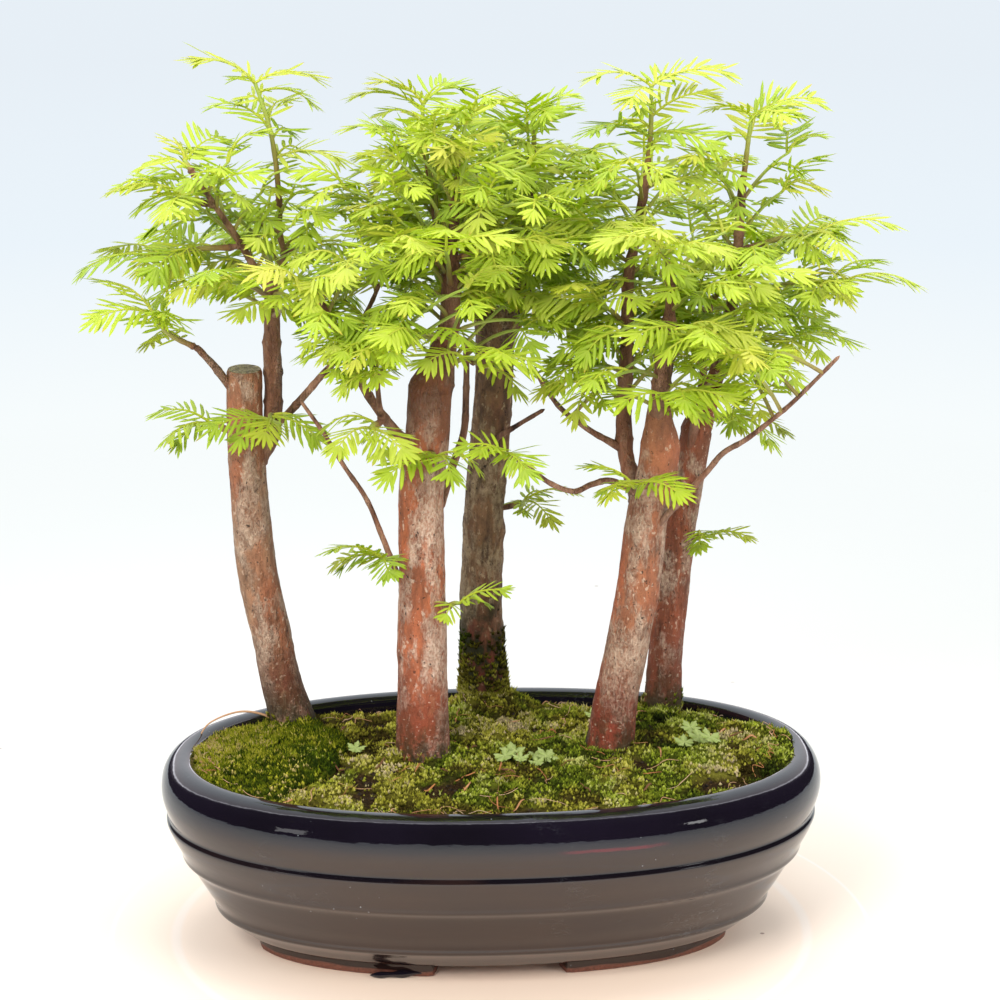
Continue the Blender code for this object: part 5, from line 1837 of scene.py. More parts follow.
            # Painted light and shade: each bud's top corner is pale, its sides half dark and its underside
            # dark.
            light = np.broadcast_to(np.array([0.5, 0.5, 0.5, 0.5, 1.0, 0.0]), points.shape[:2])
            tone = np.broadcast_to(np.clip(tone, 0, 1)[:, None], points.shape[:2])
            skin = Skin()
            skin.add(points, faces, np.stack([light, tone, np.zeros_like(light)], axis=-1))
            skin.build(name, *cover, (), 25.0)

    def crumbs(self) -> None:
        """Strews crumbs of soil where the moss is thin: squashed eight-sided pebbles."""
        draw = np.random.default_rng(self.seed + 13)
        x, y = self.scatter(draw, self.crumb_count, False, self.margin)
        keep = draw.random(len(x)) < 0.04 + 0.6 * self.bare(x, y)
        x, y = x[keep], y[keep]
        size = draw.uniform(0.3, 1.0, len(x))
        centre = np.stack([x, y, self.surface(x, y) - 0.45 + 0.2 * size], axis=1)
        skin = Skin()
        skin.add(*self.pebbles(centre, size, (1.0, 1.0, 0.7), draw), (0.0, 0.0, 1.0))
        skin.build("soil_crumbs", Earth().build(), Slot.SOIL, (), 30.0)

    def strand(self, skin: Skin, plan: Array, lift: Array, radii: Array, tone: float) -> None:
        """Lays a thin strand over the moss along its plan.

        Args:
            skin: Where it is added.
            plan: Plan of its points.
            lift: Their heights over the moss.
            radii: Its radii.
            tone: Its colour.
        """
        kept = self.spread(*plan.T) < 0.995
        if kept.sum() < 5:
            return
        height = self.surface(*plan[kept].T)
        height = np.convolve(np.pad(height, 2, mode="edge"), np.full(5, 0.2), mode="valid")
        skin.tube(np.column_stack([plan[kept], height + lift[kept]]), radii[kept], 5, (tone, 0.0, 0.0))

    def litter(self) -> None:
        """Lays fallen twigs and chips, and curls pale rootlets, most of them near the rim."""
        draw = np.random.default_rng(self.seed + 5)
        skin = Skin()
        share = np.linspace(-0.5, 0.5, 12)
        for x, y in self.scatter(draw, self.twig_count, False, 0.95).T:
            chip = draw.random() < 0.28
            span = draw.uniform(3.0, 7.5) if chip else draw.uniform(4.0, 13.0)
            bearing = draw.uniform(0, TURN)
            bend = draw.uniform(-0.12, 0.12) if chip else draw.uniform(-0.5, 0.5)
            side = bend * span * 2 * share ** 2 + (0 if chip else 0.4) * np.sin(9 * share + bearing)
            plan = np.stack([x + span * share * math.cos(bearing) - side * math.sin(bearing),
                             y + span * share * math.sin(bearing) + side * math.cos(bearing)], axis=1)
            radius = draw.uniform(0.26, 0.42) if chip else draw.uniform(0.08, 0.17)
            lift = draw.uniform(0.4, 1.0) + 0.5 * np.sin(4 * share + bearing)
            tone = draw.choice([0.12, 0.4, 0.5, 0.6]) if chip else draw.uniform(0.25, 0.9)
            self.strand(skin, plan, lift, radius * (1.0 - 0.45 * np.abs(2 * share)), float(tone))
        share = np.linspace(0.0, 1.0, 18)
        for start in draw.uniform(0, TURN, self.rootlet_count):
            angle = start + draw.uniform(0.04, 0.14) * share
            curl, turns = draw.uniform(0.5, 1.8), draw.uniform(0.5, 1.6)
            inset = draw.uniform(12.5, 16.5) + curl * np.sin(TURN * turns * share + start)
            plan = np.diagonal(self.tray.oval(inset, inset, angle)).T[:, :2]
            lift = 0.7 + 0.7 * np.sin(TURN * turns * share + 2 * start)
            self.strand(skin, plan, lift, np.full(18, draw.uniform(0.07, 0.12)), draw.uniform(0.45, 1.0))
        bow = (-93, 21, 59), (-89, 23, 64), (-80, 25, 66.8), (-72, 26, 65.4), (-65, 27, 61)
        loop = smooth_route(bow, 36, 16)
        skin.tube(loop, np.linspace(0.22, 0.45, 36), 7, (0.72, 0.0, 0.0))
        skin.build("fallen_twigs", Litter().build(), Slot.BARK)

    def seedlings(self) -> None:
        """Sets small lobed leaves on short stalks at chosen places among the moss."""
        draw = np.random.default_rng(self.seed + 9)
        skin = Skin()
        for x, y in self.weeds:
            foot = float(self.surface(np.array([x]), np.array([y]))[0])
            centre = np.array([x, y, foot + draw.uniform(1.2, 2.6)])
            bearing = draw.uniform(0, TURN)
            skin.add(*self.lobed_leaf(centre, draw.uniform(2.8, 4.6), bearing, draw.uniform(-0.3, 0.3)))
            stalk = np.linspace(np.array([x, y, foot - 0.5]), centre - 0.1 * UP, 5)
            skin.tube(stalk, np.full(5, 0.2), 5, (0.3, 0.0, 0.0))
        skin.build("weed_seedlings", Seedling().build(), Slot.FOLIAGE)

    @staticmethod
    def lobed_leaf(centre: Array, radius: float, bearing: float,
                   tilt: float) -> tuple[Array, list[Array], Array]:
        """A round leaf with notched lobes: radius 0.56 + 0.34 |cos 2.5a| + 0.10 cos 15a, cupped by r^2.

        Args:
            centre: Its middle.
            radius: Its radius.
            bearing: Where its notch points.
            tilt: Its slope.

        Returns:
            Points, faces and tint.
        """
        angle = angles(48)
        lobes = 0.56 + 0.34 * np.abs(np.cos(2.5 * angle)) + 0.10 * np.cos(15 * angle)
        lobes = lobes - 0.42 * np.exp(-((np.abs(angle - np.pi) / 0.26) ** 2))
        share = np.array([0.12, 0.45, 0.75, 0.95, 1.0, 0.95, 0.75, 0.45, 0.12])
        half_thick = np.array([-1.0, -1.0, -1.0, -0.8, 0.0, 0.8, 1.0, 1.0, 1.0])[:, None] * 0.11
        x = radius * np.outer(share, lobes * np.cos(angle + bearing))
        y = radius * np.outer(share, lobes * np.sin(angle + bearing))
        cup = 0.10 * (x ** 2 + y ** 2) / radius + tilt * x + 0.28 * y
        cup = cup + 0.25 * np.cos(5 * angle)[None] * share[:, None]
        points, faces = closed_rings(np.stack([x, y, cup + half_thick], axis=-1) + centre)
        vein = np.concatenate([np.outer(share, 0.5 - 0.5 * np.cos(5 * angle)).ravel(), [0.0, 0.0]])
        return points, faces, np.outer(vein, (1.0, 0.0, 0.0))

    def build(self) -> None:
        """Makes the grounds, their tufts and all that lies on them."""
        tones = ((0.0, (0.030, 0.048, 0.004)), (0.28, (0.09, 0.13, 0.006)), (0.55, (0.31, 0.33, 0.014)),
                 (0.80, (0.62, 0.56, 0.05)), (1.0, (0.72, 0.53, 0.20)))
        mound_moss = Moss("mound_moss", (0.010, 0.014, 0.002), tones)
        covers = (Moss().build(), Slot.MOSS), (mound_moss.build(), Slot.CUSHION)
        self.grounds(*covers)
        self.plants(*covers)
        self.buds(*covers)
        self.litter()
        self.seedlings()
        self.crumbs()


BARKS = (
    Bark("bark_left", (0.43, 0.235, 0.128), (0.40, 0.142, 0.066), (0.15, 0.070, 0.036), (0.17, 0.048, 0.024),
         limed=0.02, brown_and_shade_above=0.30),
    Bark("bark_middle", (0.49, 0.182, 0.090), (0.52, 0.150, 0.062), (0.19, 0.066, 0.032),
         (0.29, 0.062, 0.027), (0.76, 0.54, 0.40), 0.03),
    Bark("bark_back", (0.26, 0.135, 0.062), (0.25, 0.092, 0.046), (0.050, 0.026, 0.015), (0.19, 0.036, 0.020),
         (0.48, 0.345, 0.20), 0.0, 0.092, 0.30),
    Bark("bark_right", (0.42, 0.162, 0.076), (0.45, 0.130, 0.055), (0.18, 0.068, 0.034), (0.22, 0.037, 0.018),
         limed=0.02, brown_and_shade_above=0.166),
    Bark("bark_end", (0.31, 0.100, 0.048), (0.34, 0.090, 0.040), (0.13, 0.046, 0.024), (0.24, 0.066, 0.034),
         limed=-0.03, brown_and_shade_above=0.17),
)


@dataclass
class Wood:
    """The five trees: each limb is a tube whose radius carries the bark's relief.

    Attributes:
        rugged: How deep each tree's bark is broken.
        heirs: The leader that each trunk runs on into, or 0 where it is sawn.
        shoulder: Length over which it does so.
        knots: For each tree, height, bearing in radians, size and rise of each knot on its trunk.
        stout: By its foot, the height up to which a leader keeps its thickness.
    """

    growth: Growth
    rugged: tuple = (0.6, 0.55, 1.25, 0.55, 0.65)
    heirs: tuple = (0, 1, 2, 2, 1)
    shoulder: float = 30.0
    knots: tuple = (
        ((150.0, 4.4, 4.0, 0.9), (118.0, 5.4, 3.0, 0.6), (92.0, 4.0, 3.2, 0.7), (170.0, 5.6, 2.6, 0.6)),
        ((160.0, 4.2, 5.0, 1.4), (131.0, 5.6, 3.6, 0.9), (96.0, 5.8, 3.4, 0.8), (74.0, 5.5, 4.0, 0.9)),
        ((150.0, 4.8, 4.0, 1.0), (120.0, 3.6, 3.4, 1.0), (98.0, 5.6, 3.6, 1.0), (84.0, 3.4, 4.0, 1.3)),
        ((146.0, 4.5, 4.6, 1.1), (112.0, 4.5, 3.0, 0.8), (96.0, 5.2, 3.0, 0.7), (76.0, 5.6, 3.0, 0.9)),
        ((140.0, 4.4, 3.6, 0.9), (110.0, 5.8, 3.6, 0.9), (88.0, 5.9, 4.2, 1.2)),
    )
    stout: tuple = (((-19, -1, 166), 230.0), ((51, -5, 152), 214.0))
    columns: int = 72
    limb_columns: int = 12
    noise: Noise = field(default_factory=lambda: Noise(23))

    def relief(self, turn: Array, run: Array, offset: float, rugged: float) -> tuple[Array, Array]:
        """The bark's relief: broad lobes, long fissures where noise crosses zero, flakes and grain.

        Args:
            turn: Share of the way round.
            run: Distance along the limb.
            offset: Where in the noise this limb reads.
            rugged: How deep it is broken.

        Returns:
            The relief in millimetres and the depth of the fissures from 0 to 1.
        """
        at = self.noise.at
        lobes = 0.40 * at(turn * 5, run / 26.0 + offset, 5)
        drift = turn * 17 + 0.9 * at(turn * 6, run / 11.0 + offset, 6)
        crack = np.abs(at(drift, run / 13.0 + offset * 2, 17))
        deep = np.clip(0.3 + 1.1 * at(turn * 7, run / 9.0 + offset, 7), 0, 1)
        fissure = np.exp(-(crack / 0.075) ** 2) * deep
        flakes = 0.26 * at(turn * 24, run / 3.6 + offset, 24) + 0.14 * at(turn * 36, run / 1.7, 36)
        return lobes + rugged * (flakes - 0.50 * fissure), fissure * min(rugged, 1.0)

    def run_on(self, course: Array, radii: Array, leader: Limb) -> tuple[Array, Array]:
        """Carries a trunk's course and radii on into its leader: what it is off by shrinks as (1 - t)^2.

        Args:
            course: The trunk's points.
            radii: Its radii.
            leader: The leader.

        Returns:
            The longer course and its radii.
        """
        line, slim = self.growth.limb_course(leader, 110)
        above = line[:, 2] > course[-1, 2] + 1.0
        line, slim = line[above], slim[above]
        t = way_along(line) / self.shoulder
        line, slim, left = line[t < 1.0], slim[t < 1.0], (1.0 - t[t < 1.0]) ** 2
        line = line + (course[-1] + UP - line[0]) * left[:, None]
        slim = 0.93 * slim + (radii[-1] - 0.93 * slim) * left
        return np.concatenate([course, line]), np.concatenate([radii, slim])

    def trunk(self, skin: Skin, tree: int, limb: Limb) -> None:
        """Adds a trunk with its bark, knots and sawn top, or with a shoulder that runs on into a leader.

        A knot is a ring-shaped swelling: rise (exp(-q) - 0.75 exp(-5q)) over the squared distance q.

        Args:
            skin: Where it is added.
            tree: The tree's number.
            limb: The trunk.
        """
        course, radii = self.growth.limb_course(limb, int(length_of(limb.route)))
        heir = self.heirs[tree]
        if heir:
            course, radii = self.run_on(course, radii, TREES[tree][heir])
        turn = np.linspace(0.0, 1.0, self.columns, endpoint=False)[None]
        run, height = way_along(course)[:, None], course[:, 2][:, None]
        relief, fissure = self.relief(turn, run, 5.0 + 11.0 * tree, self.rugged[tree])
        for level, bearing, size, rise in self.knots[tree]:
            away = (turn - bearing / TURN + 0.5) % 1.0 - 0.5
            q = ((height - level) / size) ** 2 + (away * TURN * limb.end_radius / size) ** 2
            relief = relief + rise * (np.exp(-q) - 0.75 * np.exp(-5.0 * q))
            # The knot's hollow is darkened through the fissure tint: partly its scar, partly painted shade.
            fissure = np.clip(fissure + 0.6 * np.exp(-7.0 * q), 0, 1)
        top = np.clip((run - run[-1]) / 1.4 + 1.0, 0.0, 1.0)
        relief = relief * np.clip(radii[:, None] / radii[0], 0.25, 1.0)
        rings = tube_rings(course, (radii[:, None] + relief) * (1.0 - 0.07 * top ** 2), self.columns)
        shares = np.array([0.95, 0.84, 0.66, 0.44, 0.2])[:, None, None]
        ends = course[-1] + (rings[-1][None] - course[-1]) * shares
        ends = ends + unit(course[-1] - course[-2]) * (1.2 * shares * (1 - shares) - 0.30 * (1 - shares))
        tint = np.zeros((len(course) + len(shares), self.columns, 3))
        tint[:len(course), :, 0] = fissure
        tint[..., 1] = 1.0
        tint[-len(shares):, :, 2] = 0.0 if heir else 1.0
        skin.rings(np.concatenate([rings, ends]), tint)

    def limb(self, skin: Skin, limb: Limb, number: int) -> None:
        """Adds a leader, branch or twig: a stringy tube with a collar at its foot and nodes along it.

        Args:
            skin: Where it is added.
            limb: The limb.
            number: Its number, for the noise.
        """
        reach = length_of(limb.route)
        course, radii = self.growth.limb_course(limb, max(int(reach / 1.1), 24))
        turn = np.linspace(0.0, 1.0, self.limb_columns, endpoint=False)[None]
        run = np.linspace(0.0, reach, len(course))[:, None]
        stringy = 0.10 * self.noise.at(turn * 8 + 0.3 * number, run / 8.0 + 7 * number, 8)
        stringy = stringy + 0.05 * self.noise.at(turn * 12, run / 2.2 + 3 * number, 12)
        node = 0.14 * np.maximum(np.sin(run * TURN / 9.5 + number), 0.0) ** 6
        collar = 0.9 * np.exp(-(run / 5.0) ** 2)
        slim = 0.70 if limb.start_radius < 2.7 else 1.0
        thick = dict(self.stout).get(limb.route[0], 0.0)
        radii = np.maximum(radii, 3.0 * np.clip((thick - course[:, 2]) / 14.0, 0.0, 1.0))
        grown = radii[:, None] * slim * (1.0 + stringy + node) + collar * slim
        if limb.end_radius <= 1.0:
            grown = grown * np.clip((reach - run) / 1.2 + 0.25, 0.25, 1.0)
        trunk = np.full(stringy.shape, 0.35 if limb.start_radius > 2.2 else 0.1)
        # The first tint value darkens the stringy bark's grooves: partly darker inner bark, partly painted
        # shade.
        tint = np.stack([np.clip(-6.0 * stringy, 0.0, 1.0), trunk, np.zeros_like(stringy)], axis=-1)
        skin.tube(course, grown, self.limb_columns, tint)

    def spurs(self, skin: Skin, tree: int) -> None:
        """Adds the short woody spurs that the shoots stand on, each with a swollen end.

        Args:
            skin: Where they are added.
            tree: The tree's number.
        """
        share = np.linspace(0.0, 1.0, 8)
        for shoot in SHOOTS:
            if shoot.tree == tree:
                base, direction, length = self.growth.spur_of(shoot)
                course = base + direction * (share * (length + self.growth.butt_gap + 0.4))[:, None]
                radii = self.growth.spur_radius * (1.0 + 0.12 * np.sin(9 * share) + 0.15 * share ** 4)
                skin.tube(course, radii, 9, (0.1, 0.1, 0.0))

    def build(self) -> None:
        """Makes one piece for each tree."""
        for tree, limbs in enumerate(TREES):
            skin = Skin()
            self.trunk(skin, tree, limbs[0])
            for number, limb in enumerate(limbs[1:]):
                self.limb(skin, limb, number + 10 * tree)
            self.spurs(skin, tree)
            node = f"tree_{NAMES[tree]}"
            skin.build(f"{node}_bark", BARKS[tree].build(), Slot.BARK, [node])


@dataclass(frozen=True)
class Cloud:
    """The room that a tree's foliage fills: an ellipsoid.

    Attributes:
        reach: Its three radii.
        lowest: Height above which the leaders bear green twigs.
        gap: Distance between two twigs along a leader.
    """

    middle: tuple
    reach: tuple
    lowest: float
    gap: float

    def room(self, root: Array, toward: Array) -> float:
        """How far a twig may grow: the larger t where |(root + t toward - middle) / reach| = 1.

        Args:
            root: Where the twig starts.
            toward: The way that it grows.

        Returns:
            The distance.
        """
        start = (root - np.array(self.middle)) / np.array(self.reach)
        way = toward / np.array(self.reach)
        square, mixed, rest = way @ way, start @ way, start @ start - 1.0
        inside = mixed * mixed - square * rest
        return float((math.sqrt(inside) - mixed) / square) if inside > 0 else 0.0


CLOUDS = (
    Cloud((-80, 12, 221), (47, 50, 40), 197.0, 5.4),
    Cloud((-14, -10, 231), (52, 50, 52), 184.0, 2.4),
    Cloud((8, 46, 230), (48, 46, 50), 184.0, 2.6),
    Cloud((48, -8, 223), (43, 52, 56), 168.0, 3.5),
    Cloud((84, 24, 217), (46, 56, 52), 162.0, 4.0),
)
FRONT = unit(np.array([-0.066, -0.955, 0.285]))


@dataclass(frozen=True)
class Sight:
    """A gap in the foliage before a limb, so that the limb shows from the front.

    Attributes:
        low: Its lower end, on the limb.
        high: Its upper end.
        reach: How far from the line between them it is kept free.
    """

    low: tuple
    high: tuple
    reach: float

    def blocked(self, spray: Spray) -> bool:
        """Whether a spray stands in it: all places are first pushed along FRONT into one plane.

        Args:
            spray: The spray.

        Returns:
            Whether it hides the limb.
        """
        low, high = np.array(self.low, float), np.array(self.high, float)
        line = high - low
        line = line - (line @ FRONT) * FRONT
        for share in (0.35, 0.65, 1.0):
            place = spray.start + share * (spray.tip - spray.start) - low
            if place @ FRONT < -1.0:
                continue
            flat = place - (place @ FRONT) * FRONT
            along = float(np.clip(flat @ line / (line @ line), 0.0, 1.0))
            if np.linalg.norm(flat - along * line) < self.reach:
                return True
        return False


SIGHTS = (
    Sight((-67, 26, 186), (-67, 26, 210), 6.0),
    Sight((-20, -1, 172), (-12, -1, 226), 6.5),
    Sight((3, 45, 158), (5, 45, 188), 7.5),
    Sight((42, 5, 160), (43, 10, 206), 5.5),
    Sight((51, -7, 162), (53, -10, 188), 5.0),
)


@dataclass
class Needles:
    """All foliage: every shoot's stem with its flat sprays, and green twigs all round the leaders.

    Attributes:
        pitch: Distance between pairs of needles along a rib.
        thickness: Height of a needle's midrib.
        stations: Where along a needle its rings lie.
        widths: Its width there, as a share of its full width.
        end_tuft: Needles in the tuft at a spray's end.
        burnt_share: Share of the needles whose tips are burnt.
        blushing_share: Share of the sprays that blush.
        side_lengths: Shortest and longest of the side sprays.
    """

    growth: Growth
    pitch: float = 1.75
    half_width: float = 0.68
    thickness: float = 0.22
    stations: tuple = (0.0, 0.32, 0.80)
    widths: tuple = (0.36, 1.0, 0.84)
    end_tuft: int = 6
    burnt_share: float = 0.10
    blushing_share: float = 0.12
    side_lengths: tuple = (12.5, 20.5)
    longest_twig: float = 40.0
    seed: int = 77

    def fine_spray(self, skin: Skin, spray: Spray, age_and_shade: float, draw: Draw) -> None:
        """Adds a spray: a slim tapering rib with close pairs of needles, and a tuft at its end.

        The rib is an arch of height 4s(1-s) that sags by s^3. Needles are longest a third of the
        way along, lean forward more towards the tip, bend forward and droop.

        Args:
            skin: Where it is added.
            spray: The spray.
            age_and_shade: Its colour, from 0, deep, for old sprays and painted shade, to 1, pale, for new
                sprays and painted light.
            draw: The random generator.
        """
        grow = self.growth
        forward, side, up = grow.spray_axes(spray.start, spray.tip, spray.roll)
        length = float(np.linalg.norm(spray.tip - spray.start))
        rib_length = length - 0.5 * grow.needle
        pairs = max(int((rib_length - 1.2) / self.pitch), 4)
        share = np.linspace(min(1.6, 0.3 * rib_length) / rib_length, 1.0, pairs)
        share = share + draw.uniform(-0.006, 0.006, pairs)
        bow = draw.uniform(-0.06, 0.06) * length

        def rib_at(s: Array) -> Array:
            """The rib's points at shares of its length.

            Args:
                s: The shares.

            Returns:
                The points.
            """
            rise = grow.arch * length * 4 * s * (1 - s)
            sag = spray.hang * length * s ** 3
            return (spray.start + np.outer(s * rib_length, forward) + np.outer(rise, up) - np.outer(sag, UP)
                    + np.outer(bow * s * s, side))

        rib = rib_at(np.linspace(0.0, 1.0, 8))
        blush = 0.20 * (draw.random() < self.blushing_share)
        skin.tube(rib, np.linspace(0.48, 0.22, 8), 4, (min(age_and_shade + 0.12, 1.0), 0.5, max(blush, 0.18)))
        high = float(np.clip((spray.start[2] - 118.0) / 75.0, 0.0, 1.0))
        longest = grow.needle * min(1.0, 0.30 + length / 34.0) * (0.66 + 0.34 * high)
        limp = 0.3 + 0.7 * high - 1.3 * float(np.clip((spray.start[2] - 232.0) / 25.0, 0.0, 1.0))
        reach = longest * (0.62 + 0.38 * np.sin(np.pi * (0.15 + 0.72 * share)))
        reach = reach * (1.0 - 0.24 * np.clip((share - 0.7) / 0.3, 0, 1)) * np.where(share < 0.16, 0.85, 1.0)
        opening = np.radians(72.0 - 34.0 * share)
        ahead = units(np.gradient(rib_at(share), axis=0))
        above = np.cross(side, ahead)
        rows = []
        for hand in (-1, 1):
            turn = (opening + draw.normal(0.0, 0.07, pairs))[:, None]
            droop = limp * (grow.droop + 0.5 * spray.hang) + draw.normal(0.0, 0.10, (pairs, 1))
            lean = units(np.cos(turn) * ahead + hand * np.sin(turn) * side - droop * above)
            sized = (reach * draw.uniform(0.78, 1.08, pairs))[:, None]
            upper = above + 0.28 * draw.normal(0.0, 1.0, (pairs, 1)) * side
            rows.append(np.hstack([rib_at(share), lean, upper, sized]))
        tuft = self.end_tuft
        fan = np.linspace(-1.0, 1.0, tuft)[:, None] + draw.uniform(-0.09, 0.09, (tuft, 1))
        lean = units(np.cos(fan) * ahead[-1] + np.sin(fan) * side - 0.14 * above[-1])
        ends = np.broadcast_to(rib[-1], (tuft, 3)), lean, np.broadcast_to(above[-1], (tuft, 3))
        rows.append(np.hstack([*ends, longest * draw.uniform(0.55, 0.74, (tuft, 1))]))
        self.blades(skin, np.vstack(rows), forward, (age_and_shade, blush, 0.52 + 0.48 * longest / grow.needle), draw)

    def blades(self, skin: Skin, rows: Array, forward: Array, tone: tuple[float, float, float],
               draw: Draw) -> None:
        """Adds needles: keeled blades that bend forward by s^2 and droop by s^2.

        Args:
            skin: Where they are added.
            rows: For each, where it starts, where it points, its upper side and its length.
            forward: The way that the spray points.
            tone: Their colour from old and new growth with painted shade and light, their blush and their
                share of the full width.
            draw: The random generator.
        """
        count = len(rows)
        roots, leans, reaches = rows[:, :3], rows[:, 3:6], rows[:, 9]
        across = units(np.cross(rows[:, 6:9], leans))
        over = np.cross(leans, across)
        s, width = np.array(self.stations), np.array(self.widths)
        bend = (0.10 + 0.07 * draw.normal(0.0, 1.0, count)) * reaches
        sag = (0.12 + 0.07 * draw.normal(0.0, 1.0, count)) * reaches

        def blade_at(t: Array) -> Array:
            """The middle lines of all blades at shares of their lengths.

            Args:
                t: The shares.

            Returns:
                The points.
            """
            out, ahead, down = (np.outer(far, part)[..., None]
                                for far, part in ((reaches, t), (bend, t ** 2), (sag, t ** 2)))
            return roots[:, None] + leans[:, None] * out + forward * ahead - over[:, None] * down

        line = blade_at(s)
        age_and_shade, blush, slim = tone
        size = (0.84 + 0.3 * draw.random(count))[:, None] * self.half_width * slim
        wide = across[:, None] * (size * width)[..., None]
        keel = over[:, None] * (self.thickness * width)[None, :, None]
        rings = np.stack([line + wide, line + keel, line - wide], axis=2).reshape(count, -1, 3)
        shaped = np.concatenate([rings, blade_at(np.ones(1))], axis=1)
        first, second = np.arange(3), (np.arange(3) + 1) % 3
        quads = np.stack([first, second, second + 3, first + 3], axis=1)
        quads = np.concatenate([quads, quads + 3])
        caps = np.concatenate([[(2, 1, 0)], np.stack([first + 6, second + 6, np.full(3, 9)], axis=1)])
        rib = np.array([0.0, 1.0, 0.0] * 3 + [0.3])
        ages_and_shade = np.clip(age_and_shade + draw.normal(0.0, 0.06, count), 0.0, 1.0)[:, None] + np.zeros((1, len(rib)))
        burnt = (draw.random(count) < self.burnt_share)[:, None]
        burn = np.concatenate([np.repeat(np.clip((s - 0.75) * 2.0, 0, 1), 3), [0.8]])[None] * burnt
        tint = np.stack([ages_and_shade, np.broadcast_to(rib, ages_and_shade.shape), np.maximum(burn, blush)], axis=-1)
        skin.add(shaped, [repeated(quads, count, 10), repeated(caps, count, 10)], tint)

    @staticmethod
    def age_and_shade_of(spray: Spray, draw: Draw) -> float:
        """Sprays high up, to the front and to the outside are paler, partly as newer growth and partly as
        painted light; those low and at the back are deeper green as painted shade.

        Args:
            spray: The spray.
            draw: The random generator.

        Returns:
            Its colour from 0, old and in painted shade, to 1, new and in painted light.
        """
        x, y, z = 0.5 * (spray.start + spray.tip)
        # Paler with height and towards the front: partly newer growth, partly painted light; deeper low and
        # at the back: painted shade.
        age_and_shade = 0.45 + 0.26 * ((z - 160.0) / 120.0) + 0.26 * (-y / 90.0) + abs(x) / 1100.0
        return float(np.clip(age_and_shade + draw.normal(0.0, 0.17), 0.04, 1.0))

    def side_sprays(self, owner: int, course: Array, gap: float, first: float, wood: Array,
                    draw: Draw) -> list[Spray]:
        """Sprays on both hands of a stem, in turn, each turned until it clears the wood.

        Args:
            owner: The shoot or tree that they are on.
            course: The stem.
            gap: Distance between two of them along the stem.
            first: Share of the stem where they begin.
            wood: The trees as rods.
            draw: The random generator.

        Returns:
            The sprays.
        """
        count = int(np.clip(length_of(course) * (1.0 - first) / gap, 1, 7))
        made = []
        hand = 1 if draw.random() < 0.5 else -1
        for share in np.linspace(first, 0.97, count + 1):
            start, heading = point_along(course, share), heading_at(course, share)
            hand = -hand
            for _ in range(5):
                angle = draw.uniform(0.75, 1.25)
                if abs(heading[2]) > 0.7:
                    toward = unit(0.45 * heading + bearing_of(draw.uniform(0, TURN)))
                else:
                    out = hand * unit(np.cross(heading, UP))
                    way = math.cos(angle) * heading + math.sin(angle) * out
                    toward = unit(way + draw.uniform(-0.18, 0.26) * UP)
                tip = start + draw.uniform(*self.side_lengths) * toward
                spray = Spray(owner, start, tip, draw.uniform(-0.45, 0.45), 4, draw.uniform(0.0, 0.16))
                clear = clear_gap(self.growth.spray_rods(spray)[1:], wood) > 0.0
                if clear and not any(sight.blocked(spray) for sight in SIGHTS):
                    made.append(spray)
                    break
                hand = -hand
        return made

    def leader_twigs(self, tree: int, wood: Array, draw: Draw) -> list[tuple[Array, list[Spray]]]:
        """Green twigs that stand out all round the leaders, at the golden angle, with their sprays.

        A twig bows upwards as s(1-s) on its way and ends inside the tree's cloud.

        Args:
            tree: The tree's number.
            wood: The trees as rods, which they keep clear of.
            draw: The random generator.

        Returns:
            Each twig's course and sprays.
        """
        cloud, made = CLOUDS[tree], []
        share = np.linspace(0.0, 1.0, 7)
        for number, limb in enumerate(TREES[tree][1:]):
            course, _ = self.growth.limb_course(limb, 60)
            reach = length_of(course)
            for step in range(int(reach / cloud.gap)):
                root = course[int((step + 0.5) * cloud.gap / reach * 59)]
                if root[2] < cloud.lowest:
                    continue
                steep = 0.85 + 1.2 * float(np.clip((root[2] - 205.0) / 30.0, 0.0, 1.0))
                for _ in range(6):
                    bearing = GOLDEN_ANGLE * step + 1.3 * number + draw.uniform(-0.6, 0.6)
                    toward = unit(bearing_of(bearing) + draw.uniform(-0.05, steep) * UP)
                    span = min(cloud.room(root, toward) * draw.uniform(0.6, 0.95) - 12.0, self.longest_twig)
                    if span < 3.0:
                        continue
                    rise = 0.35 * span * share * (1 - share)
                    twig = root + toward * (share * span)[:, None] + UP * rise[:, None]
                    if clear_gap(rods_along(twig[[2, -1]], 0.6, 0.5), wood) < 0.0:
                        continue
                    tip = twig[-1] + draw.uniform(14.0, 21.0) * unit(toward + draw.uniform(-0.30, 0.15) * UP)
                    end = Spray(tree, twig[-1], tip, draw.uniform(-0.4, 0.4), 4, draw.uniform(0.0, 0.2))
                    if any(sight.blocked(end) for sight in SIGHTS):
                        continue
                    made.append((twig, [end] + self.side_sprays(tree, twig, 7.0, 0.22, wood, draw)))
                    break
        return made

    @staticmethod
    def stem(skin: Skin, rough: Array, radius: float, rows: int = 22, columns: int = 7) -> None:
        """Adds a stem, woody at its foot and green at its end.

        Args:
            skin: Where it is added.
            rough: The points that it goes through.
            radius: Its radius at the foot.
            rows: Its rings.
            columns: Points in a ring.
        """
        share = np.linspace(0.0, 1.0, rows)
        radii = radius * (1.0 - 0.42 * share) * (1.0 + 0.06 * np.sin(34 * share))
        woody = np.repeat(np.clip(radius - 1.1 * share, 0.0, 1.0), columns)
        skin.tube(smooth_route(rough, rows), radii, columns, np.outer(woody, (1.0, 0.0, 0.0)))

